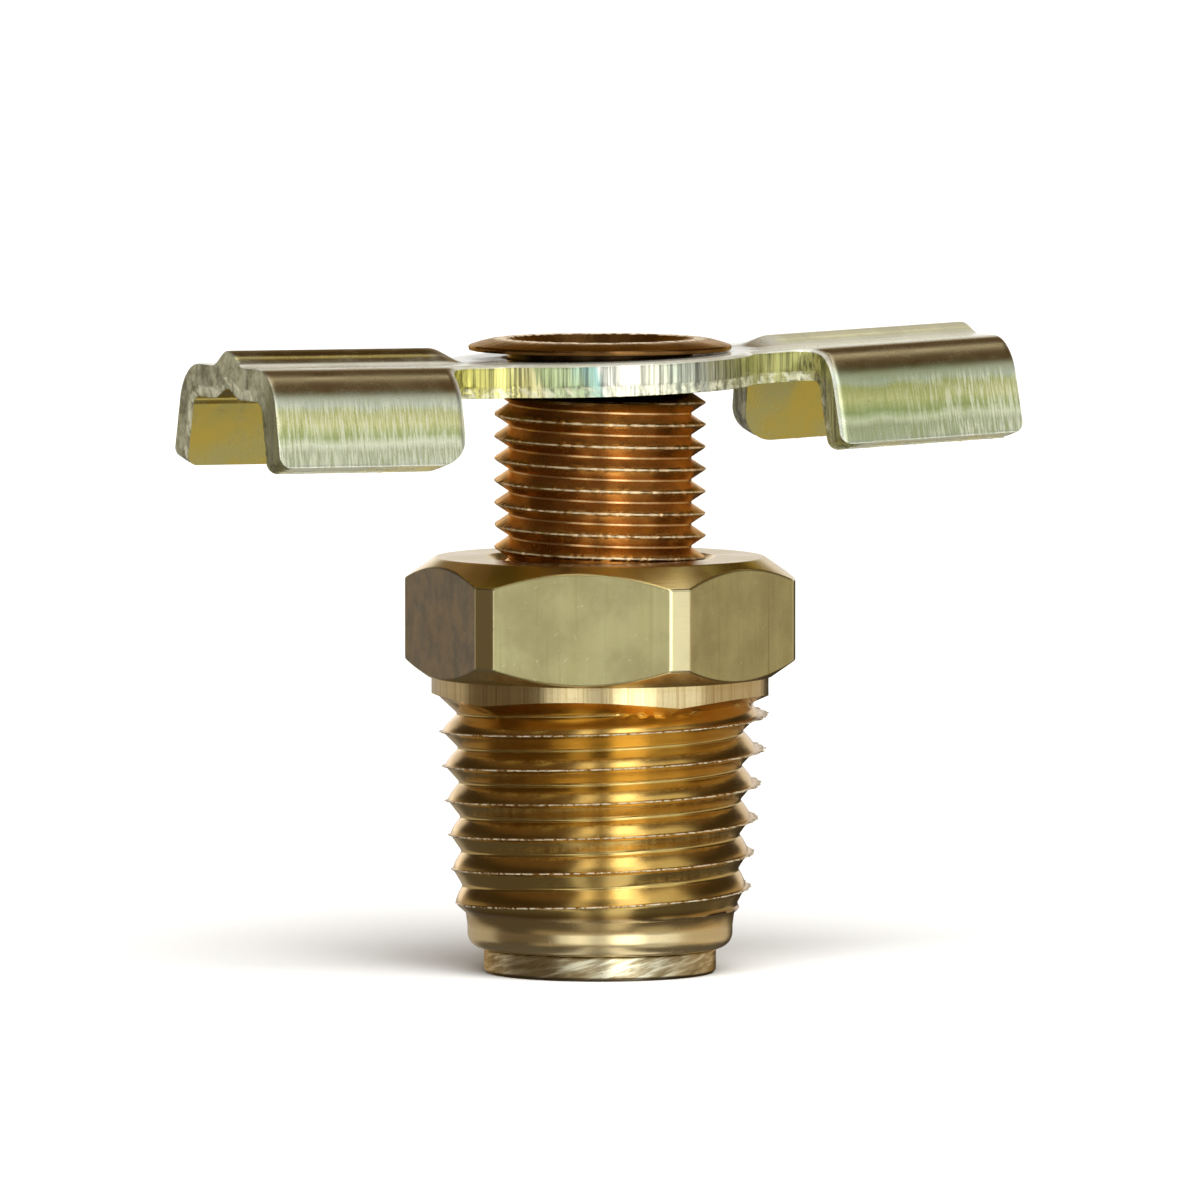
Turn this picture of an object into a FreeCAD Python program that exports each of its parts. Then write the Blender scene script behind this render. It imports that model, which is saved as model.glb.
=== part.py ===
import FreeCAD, Part
import math
import os

# A closed drain cock with an outside seat: body, hollow stem and winged handle, in millimetres and degrees.
# The origin is the middle of the stem head's under face, +Z runs up the stem and the wings lie along X.

# Stem head, which closes the lower end of the body from outside
seat_width = 0.39             # ring of the head that covers the seat
seat_angle = 45.0             # slope of the head's cone and of the seat
seat_gap = 0.07               # along the axis, between the cone and the seat
head_edge = 0.95
head_chamfer = 0.12

# Stem, with its left-hand thread as rings at the thread's pitch
stem_pitch = 25.4 / 28.0
stem_crest_radius = 4.30
thread_form = 0.6134          # depth of a machine thread, in pitches
crest_flat = 0.14             # flats of a thread ridge, in pitches
root_flat = 0.14
neck_relief = 0.35
neck_length = 2.70
neck_wall = 0.95
port_radius = 1.20
passage_floor = 1.15          # metal under the tip of the drilled passage
drill_tip_slope = 31.0
stem_exposed = 6.75           # thread between body and handle when closed
tenon_step = 0.50
tenon_wall = 0.70
outlet_depth = 1.50           # how far the wider outlet reaches below the stem's shoulder

# Flare at the top of the stem, rolled out over the handle
rim_overhang = 1.60
rim_edge = 0.14
rim_play = 0.12               # room left under the flare
lip_offset = 0.12             # the highest ring, outside the tenon's radius
lip_rise = 0.31
lip_throat = 0.50             # depth of the funnel inside the lip

# Body
bore_clearance = 0.06
pipe_wall = 1.25              # bore to thread root at the small end
pipe_pitch = 25.4 / 18.0
pipe_taper = 1.0 / 32.0       # radius gained for each millimetre along the thread
pipe_ridges = 6
ridge_height = 0.36           # at the small end, where the crests are cut back
ridge_growth = 0.06           # height gained for each millimetre along the thread
nose_step = 0.11
nose_round = 0.70
nose_length = 1.43
runout_length = 0.38
collar_height = 0.86
collar_step = 0.245           # collar inside the hexagon's flats
hex_across_flats = 14.29
hex_height = 4.89
hex_corner_flat = 0.90
hex_turn = -2.0
hex_chamfer_slope = 35.0
hex_top_inset = 0.415         # chamfer circles inside the flats
hex_bottom_inset = 0.10
mouth_chamfer = 0.35

# Handle, one bent sheet
sheet = 1.35
hole_clearance = 0.09
disc_band = 2.40
neck_half_width = 3.00
neck_fillet = 1.20
flange_gap = 2.10             # from the disc's edge to the flanges
notch_round = 1.00
wing_length = 8.35
wing_half_width = 5.20
flange_height = 3.90
flange_lean = 13.0
inner_bend = 0.55
bead_width = 2.80
bead_height = 0.43
bead_lap = 0.10               # how far the beads run onto the disc
groove_width = 1.50
groove_depth = 0.40
small_corner = 0.45
large_corner = 1.30
right_lift = 0.75             # each wing is bent up a little from the disc
left_lift = 2.10
handle_roll = -0.40           # about X: the +Y side hangs low
handle_pitch = -1.53          # about Y: the +X wing stands high
handle_play = 0.02

# Sizes that follow
bore_radius = stem_crest_radius + bore_clearance
head_radius = bore_radius + seat_width
stem_root_radius = stem_crest_radius - thread_form * stem_pitch
neck_radius = stem_root_radius - neck_relief
passage_radius = neck_radius - neck_wall
tenon_radius = stem_crest_radius - tenon_step
outlet_radius = tenon_radius - tenon_wall
rim_radius = tenon_radius + rim_overhang
lip_radius = tenon_radius + lip_offset
pipe_root_radius = bore_radius + pipe_wall
nose_radius = pipe_root_radius - nose_step
hex_apothem = hex_across_flats / 2
collar_radius = hex_apothem - collar_step
hole_radius = tenon_radius + hole_clearance
disc_radius = hole_radius + disc_band
flange_start = disc_radius + flange_gap
wing_reach = flange_start + wing_length
outer_bend = inner_bend + sheet
bead_start = disc_radius - bead_lap
neck_start = math.sqrt((disc_radius + neck_fillet) ** 2 - (neck_half_width + neck_fillet) ** 2)

# Heights that follow, from the head's under face up
seat_slope = math.tan(math.radians(seat_angle))
body_foot = head_edge + seat_gap
pipe_start = body_foot + nose_length
pipe_end = pipe_start + pipe_ridges * pipe_pitch
collar_foot = pipe_end + runout_length
hex_foot = collar_foot + collar_height
hex_top = hex_foot + hex_height
shoulder = hex_top + stem_exposed
lean_rise = math.tan(math.radians(math.hypot(handle_roll, handle_pitch)))
handle_foot = shoulder + stem_crest_radius * lean_rise + handle_play
rim_foot = handle_foot + sheet + rim_radius * lean_rise + rim_play

# How far cutting tools reach past the faces that they cut
past = 2.0

along_x = FreeCAD.Vector(1, 0, 0)
along_y = FreeCAD.Vector(0, 1, 0)
up = FreeCAD.Vector(0, 0, 1)
origin = FreeCAD.Vector(0, 0, 0)


def plan(a, b):
    return FreeCAD.Vector(a, b, 0)


def side(a, b):
    return FreeCAD.Vector(a, 0, b)


def cross(a, b):
    return FreeCAD.Vector(0, a, b)


def outline(corners, place):
    """Closed wire through (a, b) corners, rounded by the radius where a corner has a third value."""
    runs = []
    for index, corner in enumerate(corners):
        here = place(corner[0], corner[1])
        if len(corner) == 2:
            runs.append((here, None, here))
            continue
        before = corners[index - 1]
        after = corners[(index + 1) % len(corners)]
        to_before = (place(before[0], before[1]) - here).normalize()
        to_after = (place(after[0], after[1]) - here).normalize()
        half = to_before.getAngle(to_after) / 2
        tangent = corner[2] / math.tan(half)
        middle = (to_before + to_after).normalize() * (corner[2] / math.sin(half) - corner[2])
        runs.append((here + to_before * tangent, here + middle, here + to_after * tangent))
    edges = []
    for index, (first, middle, last) in enumerate(runs):
        previous = runs[index - 1][2]
        edges.append(Part.makeLine(previous, first))
        if middle:
            edges.append(Part.Arc(first, middle, last).toShape())
    return Part.Wire(edges)


def turned(corners):
    """Solid of revolution about Z from (radius, height) corners."""
    return Part.Face(outline(corners, side)).revolve(origin, up, 360)


def ridges(start, pitch, count, root, crest):
    """Corners of thread ridges; root and crest give the radius at a height."""
    corners = []
    for turn in range(count):
        foot = start + turn * pitch
        steps = (
            (root_flat / 2, root),
            (0.5 - crest_flat / 2, crest),
            (0.5 + crest_flat / 2, crest),
            (1 - root_flat / 2, root),
        )
        for share, radius in steps:
            height = foot + share * pitch
            corners.append((radius(height), height))
    return corners


def pipe_root(height):
    return pipe_root_radius + (height - pipe_start) * pipe_taper


def pipe_crest(height):
    return pipe_root(height) + ridge_height + (height - pipe_start) * ridge_growth


def stem_root(height):
    return stem_root_radius


def stem_crest(height):
    return stem_crest_radius


def hexagon():
    """Hexagonal bar with turned corners and a cone chamfer at each end."""
    angles = [math.radians(hex_turn + 30 + 60 * corner) for corner in range(6)]
    reach = hex_apothem / math.cos(math.radians(30))
    points = [(reach * math.cos(angle), reach * math.sin(angle)) for angle in angles]
    bar = Part.Face(outline(points, plan)).extrude(up * hex_height)
    bar.translate(up * hex_foot)
    half_flat = reach / 2 - hex_corner_flat / 2 / math.cos(math.radians(30))
    corner_radius = math.hypot(hex_apothem, half_flat)
    slope = math.tan(math.radians(hex_chamfer_slope))
    top_circle = hex_apothem - hex_top_inset
    bottom_circle = hex_apothem - hex_bottom_inset
    turned_ends = turned([
        (0, hex_foot),
        (bottom_circle, hex_foot),
        (corner_radius, hex_foot + (corner_radius - bottom_circle) * slope),
        (corner_radius, hex_top - (corner_radius - top_circle) * slope),
        (top_circle, hex_top),
        (0, hex_top),
    ])
    return bar.common(turned_ends)


def valve_body():
    lower = turned([
        (0, body_foot),
        (nose_radius, body_foot, nose_round),
        (nose_radius, pipe_start),
        *ridges(pipe_start, pipe_pitch, pipe_ridges, pipe_root, pipe_crest),
        (pipe_root(pipe_end), pipe_end),
        (collar_radius, collar_foot),
        (collar_radius, hex_foot),
        (0, hex_foot),
    ])
    bore = turned([
        (0, body_foot - past),
        (head_radius + past * seat_slope, body_foot - past),
        (bore_radius, body_foot + seat_width / seat_slope),
        (bore_radius, hex_top - mouth_chamfer),
        (bore_radius + mouth_chamfer + past, hex_top + past),
        (0, hex_top + past),
    ])
    return lower.fuse(hexagon()).cut(bore).removeSplitter()


def stem():
    neck_foot = head_edge + (head_radius - neck_radius) / seat_slope
    turns = int((shoulder - neck_foot - neck_length) / stem_pitch)
    thread_foot = shoulder - turns * stem_pitch
    passage_foot = passage_floor + passage_radius * math.tan(math.radians(drill_tip_slope))
    outlet_foot = shoulder - outlet_depth
    lip_top = rim_foot + rim_edge + lip_rise
    piece = turned([
        (0, 0),
        (head_radius - head_chamfer, 0),
        (head_radius, head_chamfer),
        (head_radius, head_edge),
        (neck_radius, neck_foot),
        (neck_radius, thread_foot),
        *ridges(thread_foot, stem_pitch, turns, stem_root, stem_crest),
        (stem_crest_radius, shoulder),
        (tenon_radius, shoulder),
        (tenon_radius, rim_foot),
        (rim_radius, rim_foot),
        (rim_radius, rim_foot + rim_edge),
        (lip_radius, lip_top),
        (outlet_radius, lip_top - lip_throat),
        (outlet_radius, outlet_foot),
        (passage_radius, outlet_foot - (outlet_radius - passage_radius)),
        (passage_radius, passage_foot),
        (0, passage_floor),
    ])
    port_start = FreeCAD.Vector(0, -head_radius, neck_foot + neck_length / 2)
    port = Part.makeCylinder(port_radius, 2 * head_radius, port_start, along_y)
    return piece.cut(port)


def handle_disc():
    """Flat disc with the fillets that lead into its two necks."""
    centre = plan(neck_start, neck_half_width + neck_fillet)
    on_neck = plan(neck_start, neck_half_width)
    on_disc = centre * (disc_radius / (disc_radius + neck_fillet))
    inward = ((on_neck - centre).normalize() + (on_disc - centre).normalize()).normalize()
    on_arc = centre + inward * neck_fillet
    left_neck, left_arc, left_disc = [plan(-point.x, point.y) for point in (on_neck, on_arc, on_disc)]
    half = [
        Part.makeLine(plan(neck_start, -neck_half_width), on_neck),
        Part.Arc(on_neck, on_arc, on_disc).toShape(),
        Part.Arc(on_disc, plan(0, disc_radius), left_disc).toShape(),
        Part.Arc(left_disc, left_arc, left_neck).toShape(),
    ]
    other_half = [edge.copy() for edge in half]
    for edge in other_half:
        edge.rotate(origin, up, 180)
    return Part.Face(Part.Wire(half + other_half)).extrude(up * sheet)


def ribbed(width, height, base, start, foot):
    """Rounded rib along a wing: its crest stands height above base, and its end is a ball."""
    radius = (width * width / 4 + height * height) / (2 * height)
    centre = FreeCAD.Vector(start + width / 2, 0, base + height - radius)
    length = wing_reach - centre.x
    rod = Part.makeCylinder(radius, length, centre, along_x)
    ball = Part.makeSphere(radius, centre)
    above = Part.makeBox(wing_reach, 2 * wing_half_width, flange_height + sheet)
    above.translate(FreeCAD.Vector(0, -wing_half_width, foot))
    return rod.fuse(ball).common(above)


def channel():
    """Channel of one wing on the +X side: web, two bends and two flanges."""
    lean = math.radians(flange_lean)
    foot = sheet - flange_height
    web_corner = wing_half_width - flange_height * math.tan(lean)
    inner_foot = (wing_half_width - sheet * math.cos(lean), foot - sheet * math.sin(lean))
    inner_corner = web_corner + sheet * math.tan(lean) - sheet / math.cos(lean)
    section = outline([
        (-web_corner, sheet, outer_bend),
        (-wing_half_width, foot),
        (-inner_foot[0], inner_foot[1]),
        (-inner_corner, 0, inner_bend),
        (inner_corner, 0, inner_bend),
        inner_foot,
        (wing_half_width, foot),
        (web_corner, sheet, outer_bend),
    ], cross)
    start = flange_start - notch_round
    bent = Part.Face(section).extrude(along_x * (wing_reach - start))
    bent.translate(along_x * start)
    for turn in (1, -1):
        notch = Part.Face(outline([
            (start - past, turn * neck_half_width),
            (flange_start, turn * neck_half_width, notch_round),
            (flange_start, turn * (wing_half_width + past)),
            (start - past, turn * (wing_half_width + past)),
        ], plan)).extrude(up * (2 * flange_height + sheet))
        notch.translate(up * (-2 * flange_height + sheet))
        bent = bent.cut(notch)
    middle_v = (wing_half_width + inner_foot[0]) / 2
    middle_w = (foot + inner_foot[1]) / 2
    corners = (
        (flange_start, 1, large_corner),
        (flange_start, -1, small_corner),
        (wing_reach, 1, small_corner),
        (wing_reach, -1, small_corner),
    )
    for corner_u, turn, radius in corners:
        corner = FreeCAD.Vector(corner_u, turn * middle_v, middle_w)
        nearest = min(bent.Edges, key=lambda edge: edge.CenterOfMass.distanceToPoint(corner))
        bent = bent.makeFillet(radius, [nearest])
    return bent


def wing(lift):
    """Neck, channel, bead and groove on the +X side, bent up at the start of the neck."""
    neck = Part.makeBox(wing_reach - neck_start, 2 * neck_half_width, sheet)
    neck.translate(FreeCAD.Vector(neck_start, -neck_half_width, 0))
    bead = ribbed(bead_width, bead_height, sheet, bead_start, sheet / 2)
    groove = ribbed(groove_width, groove_depth, 0, bead_start + (bead_width - groove_width) / 2, -sheet)
    piece = neck.fuse([channel(), bead]).cut(groove)
    piece.rotate(along_x * neck_start, along_y, -lift)
    return piece


def wing_handle():
    right = wing(right_lift)
    left = wing(left_lift)
    left.rotate(origin, up, 180)
    hole = Part.makeCylinder(hole_radius, 2 * sheet, FreeCAD.Vector(0, 0, -sheet / 2))
    piece = handle_disc().fuse([right, left]).cut(hole).removeSplitter()
    piece.rotate(origin, along_x, handle_roll)
    piece.rotate(origin, along_y, handle_pitch)
    piece.translate(up * handle_foot)
    return piece


os.makedirs("parts", exist_ok=True)
for name, shape in (("valve_body", valve_body()), ("stem", stem()), ("wing_handle", wing_handle())):
    print(name, "solids", len(shape.Solids), "valid", shape.isValid(), "volume", round(shape.Volume, 2))
    print("  box", shape.BoundBox)
    shape.exportStep("parts/" + name + ".step")
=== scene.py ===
import bmesh
import bpy
import numpy as np
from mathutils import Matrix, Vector


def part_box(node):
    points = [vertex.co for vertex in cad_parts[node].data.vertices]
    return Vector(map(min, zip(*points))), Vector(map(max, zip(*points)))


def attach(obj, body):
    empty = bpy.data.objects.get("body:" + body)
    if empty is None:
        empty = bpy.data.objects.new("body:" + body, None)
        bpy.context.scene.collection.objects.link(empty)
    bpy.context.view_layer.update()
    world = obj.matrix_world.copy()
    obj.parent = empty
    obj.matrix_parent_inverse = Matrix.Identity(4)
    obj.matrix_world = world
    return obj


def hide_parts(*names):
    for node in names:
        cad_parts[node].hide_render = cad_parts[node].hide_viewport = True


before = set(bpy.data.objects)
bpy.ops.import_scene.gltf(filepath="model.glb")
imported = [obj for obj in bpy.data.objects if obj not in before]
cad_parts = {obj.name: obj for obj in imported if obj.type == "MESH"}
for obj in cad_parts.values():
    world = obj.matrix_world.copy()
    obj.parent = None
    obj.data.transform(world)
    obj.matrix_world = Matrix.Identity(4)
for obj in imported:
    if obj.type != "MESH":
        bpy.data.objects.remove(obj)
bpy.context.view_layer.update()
mm = 0.001  # the sizes below are in millimetres, the meshes in metres
turn = 2 * np.pi
cameraSide = np.radians(-116.0)  # direction from the part's axis to the camera, seen from above
easing = {
    "most": 0.45,  # share of a profile's side that a curve at its corner may take
    "steps": (0.0, 0.33, 0.67, 1.0),
    "hold": 0.35,  # place of the rows beside a curve that hold the flats flat
}
print("frame loaded, nodes:", len(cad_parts))


def nodeSpan(node):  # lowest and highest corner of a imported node, in millimetres
    low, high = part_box(node)
    return np.array(low) / mm, np.array(high) / mm


def ramp01(value, low, high):  # smooth step from 0 at low to 1 at high
    share = np.clip((value - low) / (high - low), 0.0, 1.0)
    return share * share * (3.0 - 2.0 * share)


def softMin(first, second, blend):  # smaller of two values, eased where they cross
    share = np.clip(0.5 + 0.5 * (second - first) / blend, 0.0, 1.0)
    return second + (first - second) * share - blend * share * (1.0 - share)


def softMax(first, second, blend):
    return -softMin(-first, -second, blend)


def unevenness(run, slowest, fastest, seed, waves=14):  # sines of mixed pitch along a run, about -1 to 1
    draw = np.random.default_rng(seed)
    rates = draw.uniform(slowest, fastest, waves)
    starts = draw.uniform(0.0, turn, waves)
    angle = turn * rates * np.asarray(run)[..., None] + starts
    return np.sin(angle).sum(axis=-1) / np.sqrt(waves)


def gridFaces(rows, columns, first=0):  # quads between neighbouring rows and columns of a grid
    corner = first + np.arange(rows * columns).reshape(rows, columns)
    quads = [corner[:-1, :-1], corner[:-1, 1:], corner[1:, 1:], corner[1:, :-1]]
    return np.stack(quads, axis=-1).reshape(-1, 4)


def softProfile(stations, columns):
    # a profile of (radius, height, easing) stations, sharp ones replaced by a short quadratic curve
    bare = np.zeros(columns)
    points = [np.stack(np.broadcast_arrays(s[0], s[1], bare), axis=-1)[..., :2] for s in stations]
    rows = [points[0]]
    for before, here, after, station in zip(points, points[1:], points[2:], stations[1:]):
        reach = station[2]
        if reach == 0:
            rows.append(here)
            continue
        back = before - here
        ahead = after - here
        backLong = np.linalg.norm(back, axis=-1, keepdims=True)
        aheadLong = np.linalg.norm(ahead, axis=-1, keepdims=True)
        start = here + back * np.minimum(reach / backLong, easing["most"])
        end = here + ahead * np.minimum(reach / aheadLong, easing["most"])
        rows.append(start + (start - here) * easing["hold"])
        rows += [(1 - t) ** 2 * start + 2 * t * (1 - t) * here + t * t * end for t in easing["steps"]]
        rows.append(end + (end - here) * easing["hold"])
    rows.append(points[-1])
    return np.stack(rows)


def between(first, last, count):  # plain stations spread evenly between two stations
    shares = np.linspace(0.0, 1.0, count + 2)[1:-1]
    return [(first[0] + (last[0] - first[0]) * s, first[1] + (last[1] - first[1]) * s, 0) for s in shares]


def helixRows(angles, hand, pitch, frontHeight, phases, low, high):
    # rows that climb with a thread: height = front height + pitch * (turns along the helix + phase)
    firstTurn = np.floor((low - frontHeight) / pitch) - 2
    lastTurn = np.ceil((np.max(high) - frontHeight) / pitch) + 3
    turns = np.arange(firstTurn, lastTurn)
    along = turns[:, None, None] + hand * (angles - cameraSide)[None, None, :] / turn
    phase = np.broadcast_to(phases[None, :, None], (len(turns), len(phases), len(angles)))
    height = frontHeight + pitch * (along + phase)
    rows = len(turns) * len(phases)
    along = np.broadcast_to(along, height.shape).reshape(rows, -1)
    phase = phase.reshape(rows, -1)
    height = np.clip(height.reshape(rows, -1), low, high)  # held in the thread's reach
    within = (height > low).any(axis=1) & (height < high).any(axis=1)
    within[1:] |= within[:-1]
    within[:-1] |= within[1:]
    return height[within], phase[within], along[within]


def turnedPoints(radius, height, angles):  # a surface of turning: radius and height on a rows x angles grid
    return np.stack([radius * np.cos(angles), radius * np.sin(angles), height], axis=-1).reshape(-1, 3)


def finishedPiece(name, points, faces, material, node, body, sharpAngle, masks, pattern=None):
    # points in millimetres and quads to a closed mesh: doubles merged, faces outward, sharp past an angle
    mesh = bpy.data.meshes.new(name)
    mesh.vertices.add(len(points))
    mesh.vertices.foreach_set("co", (points * mm).astype(np.float32).ravel())
    mesh.loops.add(faces.size)
    mesh.loops.foreach_set("vertex_index", faces.astype(np.int32).ravel())
    mesh.polygons.add(len(faces))
    mesh.polygons.foreach_set("loop_start", np.arange(0, faces.size, 4, dtype=np.int32))
    mesh.update(calc_edges=True)
    for maskName, values in masks.items():
        layer = mesh.attributes.new(maskName, "FLOAT", "POINT")
        layer.data.foreach_set("value", values.astype(np.float32).ravel())
    if pattern is not None:
        layer = mesh.uv_layers.new(name="pattern")
        layer.data.foreach_set("uv", pattern[faces.ravel()].astype(np.float32).ravel())
    shell = bmesh.new()
    shell.from_mesh(mesh)
    bmesh.ops.remove_doubles(shell, verts=shell.verts, dist=0.0002 * mm)
    bmesh.ops.recalc_face_normals(shell, faces=shell.faces)
    shell.to_mesh(mesh)
    openEdges = sum(not edge.is_manifold for edge in shell.edges)
    shell.free()
    mesh.shade_smooth()
    mesh.set_sharp_from_angle(angle=np.radians(sharpAngle))
    mesh.materials.append(material)
    piece = bpy.data.objects.new(name, mesh)
    bpy.context.scene.collection.objects.link(piece)
    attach(piece, body)
    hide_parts(node)
    print("piece", name, "faces", len(mesh.polygons), "open edges", openEdges)
    return piece


class Look:  # a node tree, with short names for the nodes that the finishes use
    def __init__(self, tree):
        self.tree = tree

    def feed(self, socket, value):  # a socket is linked, a plain value is set; colours come without alpha
        if isinstance(value, bpy.types.NodeSocket):
            self.tree.links.new(value, socket)
        elif socket.type == "RGBA":
            socket.default_value = (*value, 1)
        else:
            socket.default_value = value

    def add(self, kind, inputs=None, **settings):
        node = self.tree.nodes.new(kind)
        for name, value in settings.items():
            setattr(node, name, value)
        for key, value in (inputs or {}).items():
            self.feed(node.inputs[key], value)
        return node

    def calc(self, operation, *terms):
        return self.add("ShaderNodeMath", dict(enumerate(terms)), operation=operation).outputs[0]

    def times(self, first, second):
        return self.calc("MULTIPLY", first, second)

    def most(self, first, second):
        return self.calc("MAXIMUM", first, second)

    def summed(self, base, *parts):  # base plus each mask times its amount
        for mask, amount in parts:
            base = self.calc("MULTIPLY_ADD", mask, amount, base)
        return base

    def vector(self, operation, *terms, **inputs):
        node = self.add("ShaderNodeVectorMath", {**dict(enumerate(terms)), **inputs}, operation=operation)
        return node.outputs["Value" if operation == "DOT_PRODUCT" else "Vector"]

    def apart(self, vector):
        return self.add("ShaderNodeSeparateXYZ", {0: vector}).outputs

    def ramp(self, value, low, high, toLow=0.0, toHigh=1.0):  # smooth step, falling where low is above high
        inputs = {"Value": value, "From Min": low, "From Max": high, "To Min": toLow, "To Max": toHigh}
        return self.add("ShaderNodeMapRange", inputs, interpolation_type="SMOOTHSTEP").outputs[0]

    def plateau(self, value, rise, fall):  # 1 between a rising and a falling smooth step
        return self.times(self.ramp(value, *rise), self.ramp(value, *fall))

    def mix(self, share, first, second, blend="MIX"):
        inputs = {0: share, 6: first, 7: second}
        return self.add("ShaderNodeMix", inputs, data_type="RGBA", blend_type=blend).outputs[2]

    def layers(self, colour, *coats):  # colours laid over one another, each by its own share
        for share, coat in coats:
            colour = self.mix(share, colour, coat)
        return colour

    def bands(self, value, stops):  # a colour ramp from (position, red, green, blue) stops
        ramp = self.add("ShaderNodeValToRGB", {0: value})
        elements = ramp.color_ramp.elements
        for element, (position, *colour) in zip(elements, (stops[0], stops[-1])):
            element.position = position
            element.color = (*colour, 1)
        for position, *colour in stops[1:-1]:
            elements.new(position).color = (*colour, 1)
        return ramp.outputs[0]

    def turned(self, vector, angles):
        return self.add("ShaderNodeMapping", {"Vector": vector, "Rotation": angles}).outputs[0]

    def stretched(self, vector, factors):
        return self.add("ShaderNodeMapping", {"Vector": vector, "Scale": factors}).outputs[0]

    def noise(self, vector, scale, detail, roughness=0.5):
        inputs = {"Vector": vector, "Scale": scale, "Detail": detail, "Roughness": roughness}
        return self.add("ShaderNodeTexNoise", inputs).outputs[0]

    def effect(self, name, inputs):
        return self.add("ShaderNodeGroup", inputs, node_tree=effects[name]).outputs

    def tarnish(self, vector, cloudScale, speckScale, speckCut):
        scales = {"Cloud Scale": cloudScale, "Speck Scale": speckScale, "Speck Cut": speckCut}
        return self.effect("tarnish", {"Vector": vector, **scales})

    def lines(self, vector, stretch):
        return self.effect("lines", {"Vector": vector, "Stretch": stretch})

    def scratches(self, vector, density, cut):
        return self.effect("scratches", {"Vector": vector, "Density": density, "Cut": cut})["Mask"]

    def mask(self, name):
        return self.add("ShaderNodeAttribute", attribute_name=name).outputs["Fac"]

    def finish(self, colour, roughness, metal, relief, strength, distance):  # all that varies, to the shader
        inputs = {"Height": relief, "Strength": strength, "Distance": distance * mm}
        bump = self.add("ShaderNodeBump", inputs).outputs[0]
        ends = {"Base Color": colour, "Roughness": roughness, "Metallic": metal, "Normal": bump}
        for name, value in ends.items():
            self.tree.links.new(value, self.tree.nodes["Principled BSDF"].inputs[name])


# Effects that the three finishes share, each a node group

def effectGroup(name, vectors, numbers, outputs):
    group = bpy.data.node_groups.new(name, "ShaderNodeTree")
    for label in vectors:
        group.interface.new_socket(label, in_out="INPUT", socket_type="NodeSocketVector")
    for label in numbers:
        group.interface.new_socket(label, in_out="INPUT", socket_type="NodeSocketFloat")
    for label in outputs:
        group.interface.new_socket(label, in_out="OUTPUT", socket_type="NodeSocketFloat")
    entry = group.nodes.new("NodeGroupInput")
    leave = group.nodes.new("NodeGroupOutput")
    return group, Look(group), entry.outputs, leave.inputs


def hairScratches():  # short scratches at three slants: noise drawn out long and cut to its thin peaks
    group, look, given, leave = effectGroup("hairScratches", ["Vector"], ["Density", "Cut"], ["Mask"])
    cuts = []
    for slant, grain in ((0.5, 11.0), (-0.9, 9.0), (1.35, 13.0)):
        slanted = look.turned(given["Vector"], (slant * 0.3, slant, slant * 0.5))
        drawn = look.stretched(slanted, (grain, grain, 0.9))
        peak = look.noise(look.vector("SCALE", drawn, Scale=given["Density"]), 1.0, 1.0)
        cuts.append(look.ramp(look.calc("SUBTRACT", peak, given["Cut"]), 0.0, 0.05))
    look.feed(leave["Mask"], look.most(look.most(cuts[0], cuts[1]), cuts[2]))
    return group


def drawnLines():  # lines left by drawing or turning: noise squeezed across the lines and long along them
    group, look, given, leave = effectGroup("drawnLines", ["Vector", "Stretch"], [], ["Fine", "Broad"])
    squeezed = look.vector("MULTIPLY", given["Vector"], given["Stretch"])
    look.feed(leave["Fine"], look.noise(squeezed, 1.0, 4.0, 0.7))
    look.feed(leave["Broad"], look.noise(squeezed, 0.22, 2.0, 0.5))
    return group


def cloudAndSpecks():  # cloudy stain and small dark specks
    numbers = ["Cloud Scale", "Speck Scale", "Speck Cut"]
    group, look, given, leave = effectGroup("tarnish", ["Vector"], numbers, ["Cloud", "Specks"])
    cloud = look.noise(given["Vector"], given["Cloud Scale"], 5.0, 0.62)
    look.feed(leave["Cloud"], look.ramp(cloud, 0.35, 0.68))
    speck = look.noise(given["Vector"], given["Speck Scale"], 3.0, 0.6)
    look.feed(leave["Specks"], look.ramp(look.calc("SUBTRACT", speck, given["Speck Cut"]), 0.0, 0.1))
    return group


effects = {"scratches": hairScratches(), "lines": drawnLines(), "tarnish": cloudAndSpecks()}


def newFinish(name):  # a material, its nodes, and the place on the part in millimetres
    material = bpy.data.materials.new(name)
    material.use_nodes = True
    look = Look(material.node_tree)
    place = look.add("ShaderNodeTexCoord").outputs["Object"]
    return material, look, look.vector("SCALE", place, Scale=1.0 / mm)


# Valve body: hexagon, collar, tapered pipe thread, nose and bore

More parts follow.
